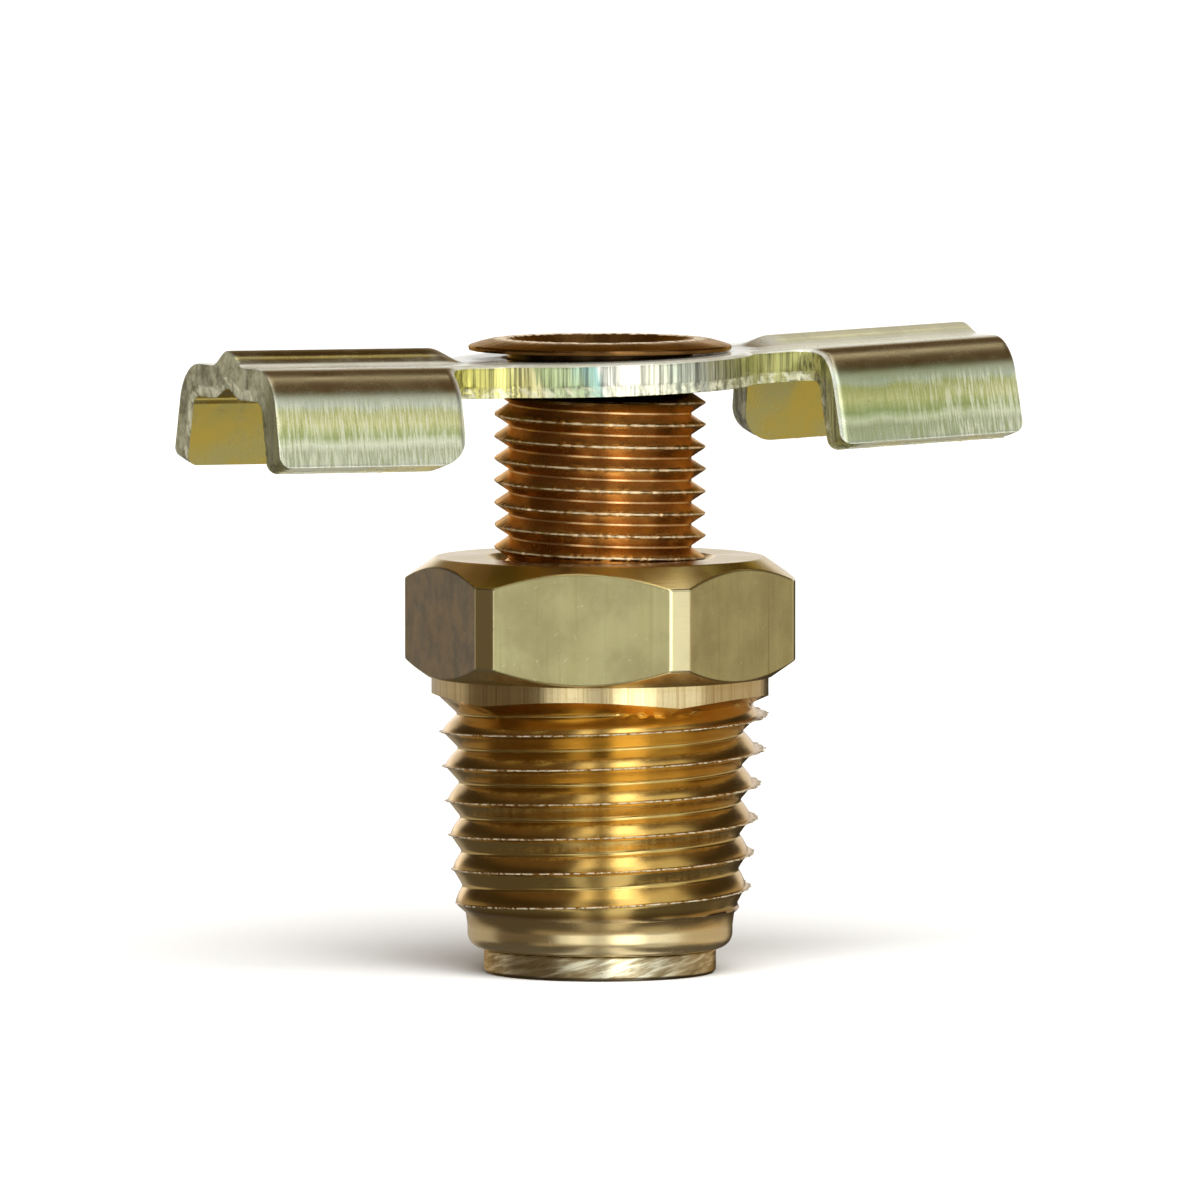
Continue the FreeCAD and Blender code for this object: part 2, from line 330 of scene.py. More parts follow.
body = {
    "boreRadius": 4.36,
    "mouth": 0.35,
    "apothem": 7.145,
    "cornerRadius": 8.003,
    "cornerEase": 0.05,
    "hexTurn": -2.0,
    "hexHeight": 4.89,
    "topCircle": 6.73,
    "bottomCircle": 7.045,
    "chamferSlope": 0.70,
    "collarRadius": 6.90,
    "collarHeight": 0.86,
    "collarDrop": 0.05,
    "scallop": 0.29,
    "scallopTurn": 28.0,
    "runoutSlope": 2.3,
    "pitch": 25.4 / 18,
    "frontCrest": 3.157,
    "rootRadius": 5.62,
    "taper": 1 / 32,
    "tipHeight": 0.385,
    "tipGrowth": 0.060,
    "ridge": 0.70,  # share of the tip's height below the torn lip
    "upperFlank": (0.50, 1.4),  # length in turns of the pitch, bulge
    "lowerFlank": (0.44, 1.05),
    "lip": 0.30,
    "lipHalf": 0.013,
    "lipRough": (0.04, 0.05),  # coarse, fine
    "lipFall": (0.024, 0.040),  # above, below
    "lipLean": 0.45,  # more torn to the camera's right
    "lipFade": (0.16, 0.50),  # distance under the collar over which the lip comes up
    "entrySlope": 1.1,
    "nose": 1.43,
    "noseRadius": 5.50,
    "noseRound": 0.62,
    "noseLead": 0.07,
    "noseStraight": 0.52,
    "seat": 0.39,
    "edge": 0.07,
    "sharpAngle": 50.0,
    "noseZone": (2.62, 2.40),  # zones of the finish: heights or sides between which a smooth step runs
    "noseBrown": (1.85, 2.25),
    "grooveShade": (2.98, 2.66),
    "collarZone": (12.25, 12.10),
    "facetFoot": (12.75, 12.85),
    "facetTop": (16.25, 16.15),
    "shadedFlatSide": (-6.88, -6.98),
    "linedSide": (2.5, 4.5),
}


def bodyColumns():  # angles round the body, closer together where a flat meets a corner
    flat = np.degrees(np.arccos(body["apothem"] / body["cornerRadius"]))
    closeUp = np.array([0.9, 0.45, 0.15])
    inset = 1.4
    flats = np.linspace(-flat + inset, flat - inset, 37)
    corner = np.concatenate([flat + closeUp[::-1], [30.0], 60 - flat - closeUp])
    sector = np.concatenate([-flat + closeUp[::-1], flats, flat - closeUp, corner])
    angles = (body["hexTurn"] + np.arange(6)[:, None] * 60 + sector[None, :]).ravel()
    return np.radians(np.append(angles, angles[0] + 360.0))


def hexRadius(angles):  # apothem / cosine of the angle off the flat, cut at the corner
    off = (np.degrees(angles) - body["hexTurn"] + 30.0) % 60.0 - 30.0
    side = body["apothem"] / np.cos(np.radians(off))
    return softMin(side, np.full_like(side, body["cornerRadius"]), body["cornerEase"])


def pipeThread(height, phase, along, angles, collarEdge, foot):
    # radius = root + ridge, which has a straight lower flank, a bulged upper one and a torn lip
    root = body["rootRadius"] + (height - foot) * body["taper"]
    tip = body["tipHeight"] + (height - foot) * body["tipGrowth"]
    phase = (phase + 0.5) % 1.0 - 0.5
    upperLong, upperBulge = body["upperFlank"]
    lowerLong, lowerBulge = body["lowerFlank"]
    upper = 1.0 - np.clip(phase / upperLong, 0.0, 1.0) ** upperBulge
    lower = 1.0 - np.clip(-phase / lowerLong, 0.0, 1.0) ** lowerBulge
    ridge = body["ridge"] * np.where(phase > 0, upper, lower)
    coarse, fine = body["lipRough"]
    torn = body["lip"] + coarse * unevenness(along, 18, 60, 3) + fine * unevenness(along, 60, 130, 4)
    torn = torn * (1.0 + body["lipLean"] * np.sin(angles - cameraSide))
    torn = torn * ramp01(collarEdge - height, *body["lipFade"])
    lip = 1.0 - np.clip((np.abs(phase) - body["lipHalf"]) / np.where(phase > 0, *body["lipFall"]), 0.0, 1.0)
    thread = root + tip * (ridge + torn * lip)
    runout = body["collarRadius"] - (collarEdge - height) * body["runoutSlope"]
    thread = np.where(height > collarEdge - 0.004, body["collarRadius"], softMax(thread, runout, 0.04))
    entry = body["noseRadius"] + (height - foot) * body["entrySlope"]
    lowerFlank = (phase < -0.03) & (runout < thread - 0.02)
    return np.minimum(thread, entry), lip * (runout < thread - 0.05), lowerFlank


def buildBody(material):
    low, high = nodeSpan("valve_body")
    angles = bodyColumns()
    columns = len(angles)
    hexTop = high[2]
    hexFoot = hexTop - body["hexHeight"]
    bodyFoot = low[2]
    threadFoot = bodyFoot + body["nose"]
    collarFoot = hexFoot - body["collarHeight"]
    bore = body["boreRadius"]
    collar = body["collarRadius"]
    reach = hexRadius(angles)
    chamferTop = hexTop - (reach - body["topCircle"]) * body["chamferSlope"]
    chamferFoot = hexFoot + (reach - body["bottomCircle"]) * body["chamferSlope"]
    around = angles - cameraSide
    arches = np.abs(np.sin(2.5 * (around - np.radians(body["scallopTurn"]))))  # left by the die's teeth
    arches = arches * (0.75 + 0.25 * np.cos(around + 0.14))  # lower at the back
    collarEdge = collarFoot - body["collarDrop"] + body["scallop"] * arches
    upperFlat = (reach, chamferTop, body["edge"])
    lowerFlat = (reach, chamferFoot, body["edge"])
    landEdge = (body["topCircle"], hexTop, body["edge"])
    upper = softProfile([
        (bore, hexTop - body["mouth"], 0),
        (bore + body["mouth"], hexTop, 0.04),
        landEdge,
        *between(landEdge, upperFlat, 2),
        upperFlat,
        *between(upperFlat, lowerFlat, 4),
        lowerFlat,
        (body["bottomCircle"], hexFoot, 0.03),
        (collar, hexFoot, 0.03),
        (collar, collarEdge + 0.06, 0),
        (collar, collarEdge, 0),
    ], columns)
    flankBelow = [-0.5, -0.45, -0.38, -0.29, -0.2, -0.13]  # rows of one turn, in shares of the pitch
    crestRows = [-0.053, -0.033, -0.013, 0.013, 0.025, 0.037]
    flankAbove = [0.1, 0.17, 0.25, 0.33, 0.4, 0.45]
    phases = np.array(flankBelow + crestRows + flankAbove)
    pitch = body["pitch"]
    height, phase, along = helixRows(angles, 1, pitch, body["frontCrest"], phases, threadFoot, collarEdge)
    radius, lip, lowerFlank = pipeThread(height, phase, along, angles, collarEdge, threadFoot)
    nose = body["noseRadius"]
    noseFoot = nose - body["noseLead"]
    rounding = body["noseRound"]
    bend = np.linspace(0.0, np.pi / 2, 8)
    lower = softProfile([
        (nose, threadFoot, 0),
        (noseFoot, threadFoot - body["noseStraight"], 0.03),
        *[(noseFoot - rounding * (1 - np.cos(b)), bodyFoot + rounding * (1 - np.sin(b)), 0) for b in bend],
        (bore + body["seat"], bodyFoot, 0.02),
        (bore, bodyFoot + body["seat"], 0.02),
        (bore, hexTop - body["mouth"], 0),
    ], columns)

    def wholeMask(threadMask):  # a mask of the thread's rows, bare above and below them
        return np.concatenate([np.zeros(upper.shape[:2]), threadMask[::-1], np.zeros(lower.shape[:2])])

    radii = np.concatenate([upper[..., 0], radius[::-1], lower[..., 0]])
    heights = np.concatenate([upper[..., 1], height[::-1], lower[..., 1]])
    inThread = (height < collarEdge - 0.01) * ramp01(height, threadFoot, threadFoot + 0.25)
    inFlat = (upper[..., 1] < chamferTop - 0.02) & (upper[..., 1] > chamferFoot + 0.02)
    inFlat = inFlat & (reach < body["cornerRadius"] - 0.03)[None, :]
    satin = np.zeros(radii.shape)
    satin[:len(upper)] = inFlat
    masks = {"crest": wholeMask(lip), "satin": satin, "thread": wholeMask(inThread),
             "lowerFlank": wholeMask(lowerFlank * inThread)}
    return finishedPiece("valveBody", turnedPoints(radii, heights, angles), gridFaces(*radii.shape), material,
                         "valve_body", "valve_body", body["sharpAngle"], masks)


def bodyFinish():  # drawn satin brass on the flats, the left flat darker as painted shade with mottled tarnish, bright turned collar, golden thread with pale torn crests as painted glints, painted shade in the last groove and painted light on the lower flanks
    material, look, vector = newFinish("bodyBrass")
    parts = look.apart(vector)
    noseZone = look.ramp(parts["Z"], *body["noseZone"])
    collarZone = look.ramp(parts["Z"], *body["collarZone"])
    # the left flat, which faces away from the lights, is painted darker and greyer: painted shade, with
    # mottled tarnish in it
    shadedFlat = look.ramp(parts["X"], *body["shadedFlatSide"])
    facetZone = look.plateau(parts["Z"], body["facetFoot"], body["facetTop"])
    satinZone = look.mask("satin")
    stain = look.tarnish(vector, 0.5, 4.0, 0.68)
    mottle = look.tarnish(vector, 1.3, 7.0, 0.62)
    drawn = look.lines(vector, (6.0, 6.0, 0.10))
    rings = look.lines(vector, (0.25, 0.25, 14.0))
    scratch = look.scratches(vector, 0.9, 0.735)
    grit = look.noise(vector, 9.0, 3.0, 0.6)
    broken = look.ramp(look.noise(vector, 4.5, 3.0, 0.6), 0.36, 0.60, 0.15, 1.0)
    crest = look.times(look.ramp(look.mask("crest"), 0.3, 0.9), broken)
    fineLine = look.ramp(parts["X"], *body["linedSide"], 0.18, 0.5)
    fineLine = look.times(look.ramp(drawn["Fine"], 0.44, 0.34), fineLine)
    fineLine = look.times(look.ramp(shadedFlat, 0.0, 1.0, 1.0, 0.2), fineLine)
    satin = look.layers(
        look.mix(drawn["Broad"], (0.58, 0.52, 0.24), (0.72, 0.67, 0.36)),
        (look.times(stain["Cloud"], 0.5), (0.46, 0.38, 0.20)),
        (look.times(scratch, 0.5), (0.86, 0.84, 0.60)),
        (shadedFlat, look.mix(mottle["Cloud"], (0.42, 0.32, 0.20), (0.28, 0.24, 0.18))),
        (fineLine, (0.34, 0.27, 0.11)),
    )
    bright = look.mix(rings["Broad"], (0.72, 0.54, 0.25), (0.86, 0.72, 0.44))
    bright = look.mix(look.ramp(drawn["Fine"], 0.52, 0.36, 0.0, 0.6), bright, (0.52, 0.37, 0.15))
    nose = look.mix(rings["Broad"], (0.86, 0.63, 0.30), (0.98, 0.86, 0.56))
    nose = look.mix(look.ramp(parts["Z"], *body["noseBrown"], 0.0, 0.65), nose, (0.60, 0.40, 0.14))
    golden = look.layers(
        look.mix(rings["Broad"], (0.62, 0.36, 0.09), (0.82, 0.56, 0.18)),
        (look.times(mottle["Cloud"], 0.35), (0.56, 0.30, 0.06)),
        # the flanks that face down get a paler, less orange colour to offset how light falls on them: painted
        # light
        (look.mask("lowerFlank"), (0.74, 0.53, 0.19)),
        # dark band in the last thread groove: painted shade
        (look.ramp(parts["Z"], *body["grooveShade"], 0.0, 0.75), (0.30, 0.15, 0.03)),
        (look.times(stain["Specks"], 0.6), (0.22, 0.10, 0.02)),
    )
    colour = look.layers(
        look.mix(rings["Broad"], (0.66, 0.46, 0.15), (0.80, 0.61, 0.27)),
        (facetZone, (0.82, 0.72, 0.42)),
        (collarZone, bright),
        (noseZone, nose),
        (look.mask("thread"), golden),
        (satinZone, satin),
        # pale colour along the torn crest lips: painted glint
        (crest, (0.97, 0.90, 0.72)),
    )
    rough = look.summed(0.19, (satinZone, 0.18), (stain["Cloud"], 0.05), (noseZone, 0.04), (crest, 0.16))
    relief = look.summed(
        look.times(drawn["Fine"], satinZone),
        (rings["Fine"], look.calc("SUBTRACT", 1.0, satinZone)),
        (scratch, -0.4),
        (look.times(grit, crest), 10.0),
    )
    metal = look.ramp(crest, 0.2, 1.0, 1.0, 0.70)
    look.finish(colour, rough, metal, relief, 0.30, 0.01)
    return material


# Stem: coned head, neck with a cross hole, left-hand thread, riveted flare and outlet

stem = {
    "headRadius": 4.75,
    "headEdge": 0.95,
    "headChamfer": 0.12,
    "neckRadius": 3.3936,
    "neckLength": 2.70,
    "neckLand": 0.10,
    "portRadius": 1.20,
    "portInner": 0.92,
    "portWall": 1.03,  # half the height of the passage's wall that the port's block takes
    "portReach": 0.9,  # half its angle
    "pitch": 25.4 / 28,
    "frontCrest": 22.67,
    "rootRadius": 3.7436,
    "crestRadius": 4.30,
    "crestHalf": 0.05,
    "crestRough": (0.02, 0.03),  # coarse, fine
    "flank": 0.41,
    "endSlope": 1.7,
    "threadFoot": 5.654,
    "shoulder": 23.797,
    "tenonRadius": 3.80,
    "rimFoot": 25.554,
    "rimRadius": 5.40,
    "rimEdge": 0.14,
    "rimBulge": 0.07,
    "rimUneven": (0.002, 0.012),  # share of the radius, drop of the top
    "lipRadius": 3.92,
    "lipThroat": 0.50,
    "lipGlintWidth": (0.65, 0.10),  # width of the pale line painted as a highlight along the flare's lip, outward and inward
    "outletRadius": 3.10,
    "outletFoot": 22.297,
    "passageRadius": 2.4436,
    "passageFoot": 2.618,
    "drillTip": 1.15,
    "columns": 240,
    "portHalf": 18,
    "portRing": 12,
    "sharpAngle": 42.0,
    "headZone": (2.4, 1.6),  # zones of the finish: heights between which a smooth step runs
    "headFootShade": (0.20, 0.06),
    "flareZone": (25.40, 25.50),
    "gapShadeFoot": (23.0, 23.8),
    "gapShadeTop": (25.56, 25.50),
    "tint": (1.0, 0.74, 0.44, 1),
}


def stemThread(height, phase, along):  # radius = root + a trapezoid ridge with a torn crest line
    phase = np.abs((phase + 0.5) % 1.0 - 0.5)
    depth = stem["crestRadius"] - stem["rootRadius"]
    ridge = 1.0 - np.clip((phase - stem["crestHalf"]) / stem["flank"], 0.0, 1.0)
    coarse, fine = stem["crestRough"]
    torn = coarse * unevenness(along, 12, 60, 11) + fine * unevenness(along, 70, 200, 12)
    lip = np.exp(-phase / stem["crestHalf"])
    radius = stem["rootRadius"] + depth * ridge + lip * torn
    toEnd = np.minimum(height - stem["threadFoot"], stem["shoulder"] - height)
    radius = np.minimum(radius, stem["rootRadius"] + np.maximum(toEnd, 0) * stem["endSlope"])
    return radius, lip * np.clip(toEnd / 0.3, 0, 1)


def portWarp(radius, height, centre, angles, middle, portRadius):
    # a square block of the wall's grid pulled round: each square ring moves part way to a circle
    half = stem["portHalf"]
    ring = stem["portRing"]
    column = np.rint((angles - middle) / (turn / stem["columns"]))
    p = np.clip(column, -half, half)[None, :]
    rows = radius.shape[0]
    q = np.arange(rows)[:, None] - (rows - 1) // 2
    square = np.maximum(np.abs(p), np.abs(q))
    share = np.clip((square - ring) / (half - ring), 0.0, 1.0)
    scale = portRadius / np.maximum(np.hypot(p, q), 1e-9)
    scale = scale * np.maximum(square, 1e-9) / np.maximum(square, ring)
    flat = radius * np.sin(angles - middle)[None, :]
    inside = (np.abs(column) < half)[None, :] & (np.abs(q) < half)
    newFlat = np.where(inside, flat * share + scale * p * (1 - share), flat)
    newHeight = np.where(inside, height * share + (centre + scale * q) * (1 - share), height)
    newAngles = np.where(inside, middle + np.arcsin(newFlat / radius), angles[None, :])
    return newAngles, newHeight, square < ring


def ringOrder(shape, angles, middle, upsideDown):  # indices of the square ring round an opening, in order
    ring = stem["portRing"]
    row = (shape[0] - 1) // 2
    column = int(np.argmin(np.abs(angles - middle)))
    run = np.arange(-ring, ring)
    hold = np.full(2 * ring, ring)
    q = np.concatenate([-hold, run, hold, -run])
    p = np.concatenate([run, hold, -run, -hold])
    rows = row - q if upsideDown else row + q
    return rows * shape[1] + column + p


def straightWall(radius, heights, columns):  # rows of one radius, in the shape that softProfile gives
    return np.stack(np.broadcast_arrays(radius, heights[:, None], np.zeros(columns)), axis=-1)[..., :2]


def stemSections(angles, foot, lipTop):
    # rows of radius and height: head, neck and thread upward, the flare, then down the passage to its tip
    columns = len(angles)
    head = stem["headRadius"]
    neck = stem["neckRadius"]
    root = stem["rootRadius"]
    outlet = stem["outletRadius"]
    passage = stem["passageRadius"]
    neckFoot = stem["headEdge"] + head - neck
    neckTop = neckFoot + stem["neckLength"]
    portHeight = (neckFoot + neckTop) / 2
    ragged = unevenness(np.cos(angles) * 1.3 + np.sin(2 * angles), 2, 9, 21)
    ragged[-1] = ragged[0]
    headRow = (head, stem["headChamfer"], 0.05)
    headTop = (head, stem["headEdge"], 0.05)
    below = softProfile([
        (0.0, foot, 0),
        (head * 0.5, foot, 0),
        (head - stem["headChamfer"], foot, 0.04),
        headRow,
        *between(headRow, headTop, 3),
        headTop,
        (neck, neckFoot, 0.06),
        (neck, neckFoot + stem["neckLand"], 0),
    ], columns)
    blockRows = 2 * stem["portHalf"] + 1
    neckHeights = np.linspace(neckFoot + stem["neckLand"], neckTop - stem["neckLand"], blockRows)
    relief = softProfile([
        (neck, neckTop - stem["neckLand"], 0),
        (neck, neckTop, 0.05),
        (root, stem["threadFoot"], 0),
    ], columns)
    phases = np.array([-0.5, -0.46, -0.33, -0.19, -0.06, 0, 0.06, 0.19, 0.33, 0.46])
    reach = (stem["threadFoot"], stem["shoulder"])
    height, phase, along = helixRows(angles, -1, stem["pitch"], stem["frontCrest"], phases, *reach)
    radius, lip = stemThread(height, phase, along)
    uneven, drop = stem["rimUneven"]
    rim = stem["rimRadius"] * (1 + uneven * ragged)
    shifted = np.roll(ragged[:-1], 37)[np.arange(columns) % (columns - 1)]
    crown = (stem["lipRadius"] * (1 + uneven * shifted), lipTop - drop * (1 + ragged), 0.10)
    rimCorner = (rim, stem["rimFoot"] + stem["rimEdge"], 0.09)
    slope = between(rimCorner, crown, 6)
    bulges = stem["rimBulge"] * np.sin(np.linspace(0.0, np.pi, len(slope) + 2)[1:-1])
    above = softProfile([
        (root, stem["shoulder"], 0),
        (stem["tenonRadius"], stem["shoulder"] + 0.001, 0),
        (stem["tenonRadius"], stem["rimFoot"], 0.05),
        (rim - 0.05, stem["rimFoot"] - 0.05, 0.05),
        rimCorner,
        *[(place[0], place[1] + bulge, 0) for place, bulge in zip(slope, bulges)],
        crown,
        (outlet, lipTop - stem["lipThroat"], 0.12),
        (outlet, stem["outletFoot"] + 2.2, 0),
        (outlet, stem["outletFoot"], 0.05),
        (passage, stem["outletFoot"], 0.05),
        (passage, stem["outletFoot"] - 6.0, 0),
        (passage, stem["outletFoot"] - 12.0, 0),
        (passage, portHeight + stem["portWall"], 0),
    ], columns)
    wallHeights = np.linspace(portHeight + stem["portWall"], portHeight - stem["portWall"], blockRows)
    bottom = softProfile([
        (passage, portHeight - stem["portWall"], 0),
        (passage, stem["passageFoot"], 0),
        (0.0, stem["drillTip"], 0),
    ], columns)
    sections = {
        "below": below,
        "neck": straightWall(neck, neckHeights, columns),
        "relief": relief,
        "thread": np.stack([radius, height], axis=-1),
        "above": above,
        "wall": straightWall(passage, wallHeights, columns),
        "bottom": bottom,
    }
    return sections, lip, portHeight


def buildStem(material):
    low, high = nodeSpan("stem")
    angles = np.linspace(0.0, turn, stem["columns"] + 1)
    lipTop = high[2]
    sections, lip, portHeight = stemSections(angles, low[2], lipTop)
    ports = {"neck": stem["portRadius"], "wall": stem["portInner"]}
    portSides = (turn / 4, 3 * turn / 4)
    allPoints = []
    allFaces = []
    allCrest = []
    rings = {}
    first = 0
    for name, section in sections.items():
        radius = section[..., 0]
        height = section[..., 1]
        turned = np.broadcast_to(angles, radius.shape)
        faces = gridFaces(*radius.shape)
        if name in ports:
            gone = np.zeros(radius.shape, dtype=bool)
            for middle in portSides:
                warped, lifted, inner = portWarp(radius, height, portHeight, angles, middle, ports[name])
                near = np.abs(angles - middle) < stem["portReach"]
                turned = np.where(near[None, :], warped, turned)
                height = np.where(near[None, :], lifted, height)
                gone |= inner
                rings[name, middle] = first + ringOrder(radius.shape, angles, middle, name == "wall")
            faces = faces[~gone.ravel()[faces].any(axis=1)]
        fromLip = radius - stem["lipRadius"]
        # pale line along the flare's lip: a painted highlight
        paleEdge = np.exp(-(fromLip / np.where(fromLip > 0, *stem["lipGlintWidth"])) ** 2) * (height > lipTop - 0.3)
        bare = np.zeros(radius.shape)
        allCrest.append({"thread": lip, "above": paleEdge}.get(name, bare).ravel())
        allPoints.append(turnedPoints(radius, height, turned))
        allFaces.append(faces + first)
        first += radius.size
    for middle in portSides:  # the port's own wall, from the neck to the passage
        outer = rings["neck", middle]
        inner = rings["wall", middle]
        ahead = np.arange(1, len(outer) + 1) % len(outer)
        allFaces.append(np.stack([outer, outer[ahead], inner[ahead], inner], axis=-1))
    return finishedPiece("drainStem", np.concatenate(allPoints), np.concatenate(allFaces), material,
                         "stem", "stem", stem["sharpAngle"],
                         {"crest": np.concatenate(allCrest)})


def stemFinish():  # brown turned brass, pale torn crests and flare lip as painted glints, dark gap under the flare as painted shade, dull greyed head with painted highlight streaks and a foot darkened as painted shade
    material, look, vector = newFinish("stemCopper")
    height = look.apart(vector)["Z"]
    stain = look.tarnish(vector, 0.8, 5.0, 0.70)
    rings = look.lines(vector, (0.5, 0.5, 16.0))
    scratch = look.scratches(vector, 1.2, 0.68)
    broken = look.ramp(look.noise(vector, 3.5, 3.0, 0.6), 0.36, 0.60, 0.35, 1.0)
    crest = look.times(look.ramp(look.mask("crest"), 0.2, 0.95), broken)
    headZone = look.ramp(height, *stem["headZone"])
    flareZone = look.ramp(height, *stem["flareZone"])
    gapShade = look.plateau(height, stem["gapShadeFoot"], stem["gapShadeTop"])
    facing = look.turned(vector, (0.0, 0.0, np.radians(26.0)))  # so that the marks slant across the front
    slanted = look.stretched(look.turned(facing, (0.0, 0.30, 0.0)), (0.5, 0.5, 4.5))
    slanted = look.noise(slanted, 1.0, 3.0, 0.6)
    greyed = look.layers(
        look.mix(stain["Cloud"], (0.62, 0.52, 0.33), (0.36, 0.27, 0.14)),
        # pale slanted streaks across the head's front: painted highlight
        (look.ramp(slanted, 0.46, 0.64, 0.0, 0.9), (0.98, 0.92, 0.70)),
        (look.ramp(slanted, 0.44, 0.34, 0.0, 0.6), (0.22, 0.16, 0.08)),
        # darker at the head's bottom edge, where it meets the floor: painted shade
        (look.ramp(height, *stem["headFootShade"], 0.0, 0.85), (0.10, 0.07, 0.04)),
    )
    colour = look.layers(
        look.mix(rings["Broad"], (0.48, 0.26, 0.10), (0.86, 0.60, 0.30)),
        (look.times(stain["Cloud"], 0.35), (0.34, 0.16, 0.05)),
        (look.times(stain["Specks"], 0.5), (0.16, 0.06, 0.02)),
        (headZone, greyed),
        (flareZone, look.mix(stain["Cloud"], (0.24, 0.12, 0.04), (0.15, 0.07, 0.022))),
        # pale colour on the torn thread crests and along the flare's lip: painted glint
        (look.times(crest, 0.85), (0.92, 0.80, 0.60)),
        # near black under the flare, between the stem and the handle: painted shade
        (look.times(gapShade, 0.96), (0.02, 0.010, 0.005)),
    )
    rough = look.summed(0.20, (stain["Cloud"], 0.10), (crest, 0.22), (headZone, 0.05))
    relief = look.summed(rings["Fine"], (scratch, -0.3))
    # less metallic along the flare's painted lip highlight
    flareLipMatt = look.ramp(look.times(crest, flareZone), 0.1, 0.8, 1.0, 0.20)
    metal = look.calc("MINIMUM", look.ramp(crest, 0.3, 1.0, 1.0, 0.70), flareLipMatt)
    look.finish(colour, rough, metal, relief, 0.30, 0.01)
    look.tree.nodes["Principled BSDF"].inputs["Specular Tint"].default_value = stem["tint"]
    return material


# Wing handle: one sheet blank, cut and bent, in developed coordinates (u along the wing, t across it)

handle = {
    "sheet": 1.35,
    "holeRadius": 3.89,
    "discRadius": 6.29,
    "neckHalf": 3.00,
    "neckFillet": 1.20,
    "notchStart": 7.39,
    "notchRound": 1.00,
    "wingStart": 8.39,
    "wingReach": 16.74,
    "bendStart": 2.788,
    "outerBend": 1.90,
    "bendAngle": 77.0,
    "blankHalf": 7.833,
    "beadHalf": 1.40,
    "rightBead": 0.43,
    "leftBead": 0.62,
    "beadStart": 6.19,
    "beadRun": 1.6,
    "grooveHalf": 1.15,
    "grooveDepth": 0.40,
    "grooveLag": 0.65,
    "largeCorner": 1.30,
    "smallCorner": 0.45,
    "rightLift": 0.75,
    "leftLift": 2.10,
    "roll": -0.40,
    "pitch": -1.53,
    "foot": 23.935,
    "dieRoll": 0.10,
    "dieRollWidth": 0.32,
    "endRelief": 0.18,  # less die roll at the wing's end and at the flange's foot
    "footRelief": 0.16,
    "wearWidth": 0.30,
    "footPlace": 0.93,  # pale line at the bead's foot: share of the bead's half, width, start
    "footWidth": 0.28,
    "footStart": (7.0, 8.5),
    "columns": 61,
    "sharpAngle": 40.0,
    "notchShade": 9.5,  # place along the right wing round which painted shade darkens the film
    "cutRows": (0.03, 0.10, 0.25, 0.45, 0.60, 0.66, 0.74, 0.84, 0.93, 0.985),  # shares down the cut edge
    "tornFrom": (0.60, 0.72),
    "tornBack": (0.03, 0.035),  # how far the torn band lies back, and its roughness
    "cutPush": 0.010,
    "cutRough": 0.006,
    "filmAndLight": [  # share of the way from the middle line to the flange's foot, and the colour there: the yellow film's colour with painted highlights and painted shade laid into the bands
        (0.00, 0.26, 0.19, 0.05),  # crown of the bead
        (0.074, 0.32, 0.25, 0.07),
        (0.084, 0.90, 0.76, 0.28),  # painted highlight: a bright line along its side
        (0.094, 0.86, 0.70, 0.22),
        (0.106, 0.34, 0.27, 0.09),
        (0.145, 0.78, 0.77, 0.68),  # web
        (0.385, 0.78, 0.77, 0.68),
        (0.43, 0.40, 0.32, 0.18),  # upper bend, darker brown as painted shade
        (0.57, 0.48, 0.38, 0.21),
        (0.61, 0.46, 0.47, 0.35),  # lower bend, with a pale band of painted highlight
        (0.665, 0.64, 0.67, 0.57),
        (0.70, 0.62, 0.60, 0.26),  # flange, with bright yellow and white bands of painted highlight
        (0.76, 0.84, 0.80, 0.40),
        (0.82, 0.48, 0.55, 0.25),
        (0.86, 0.97, 0.97, 0.78),
        (0.895, 0.60, 0.61, 0.44),
        (0.98, 0.68, 0.70, 0.56),
    ],
    "rimPaintedLight": [  # share of the way round the disc's edge, left to right: painted reflections and highlights in bands
        (0.04, 0.50, 0.46, 0.10),
        (0.20, 0.78, 0.74, 0.26),
        (0.285, 0.92, 0.88, 0.48),
        (0.30, 0.44, 0.52, 0.26),
        (0.40, 0.50, 0.60, 0.34),
        (0.47, 0.34, 0.58, 0.54),
        (0.50, 0.90, 0.90, 0.80),
        (0.66, 0.88, 0.85, 0.66),
        (0.72, 0.66, 0.72, 0.56),
        (0.80, 0.38, 0.40, 0.33),
        (0.88, 0.26, 0.26, 0.15),
        (0.97, 0.38, 0.37, 0.13),
    ],
}


def neckStart():  # where the fillet between disc and neck meets the neck's straight side
    middle = handle["discRadius"] + handle["neckFillet"]
    return np.sqrt(middle ** 2 - (handle["neckHalf"] + handle["neckFillet"]) ** 2)


def across(count):  # -1 to 1, closer together near the ends
    even = np.linspace(-1.0, 1.0, count)
    return 0.55 * even + 0.45 * np.sin(even * np.pi / 2)


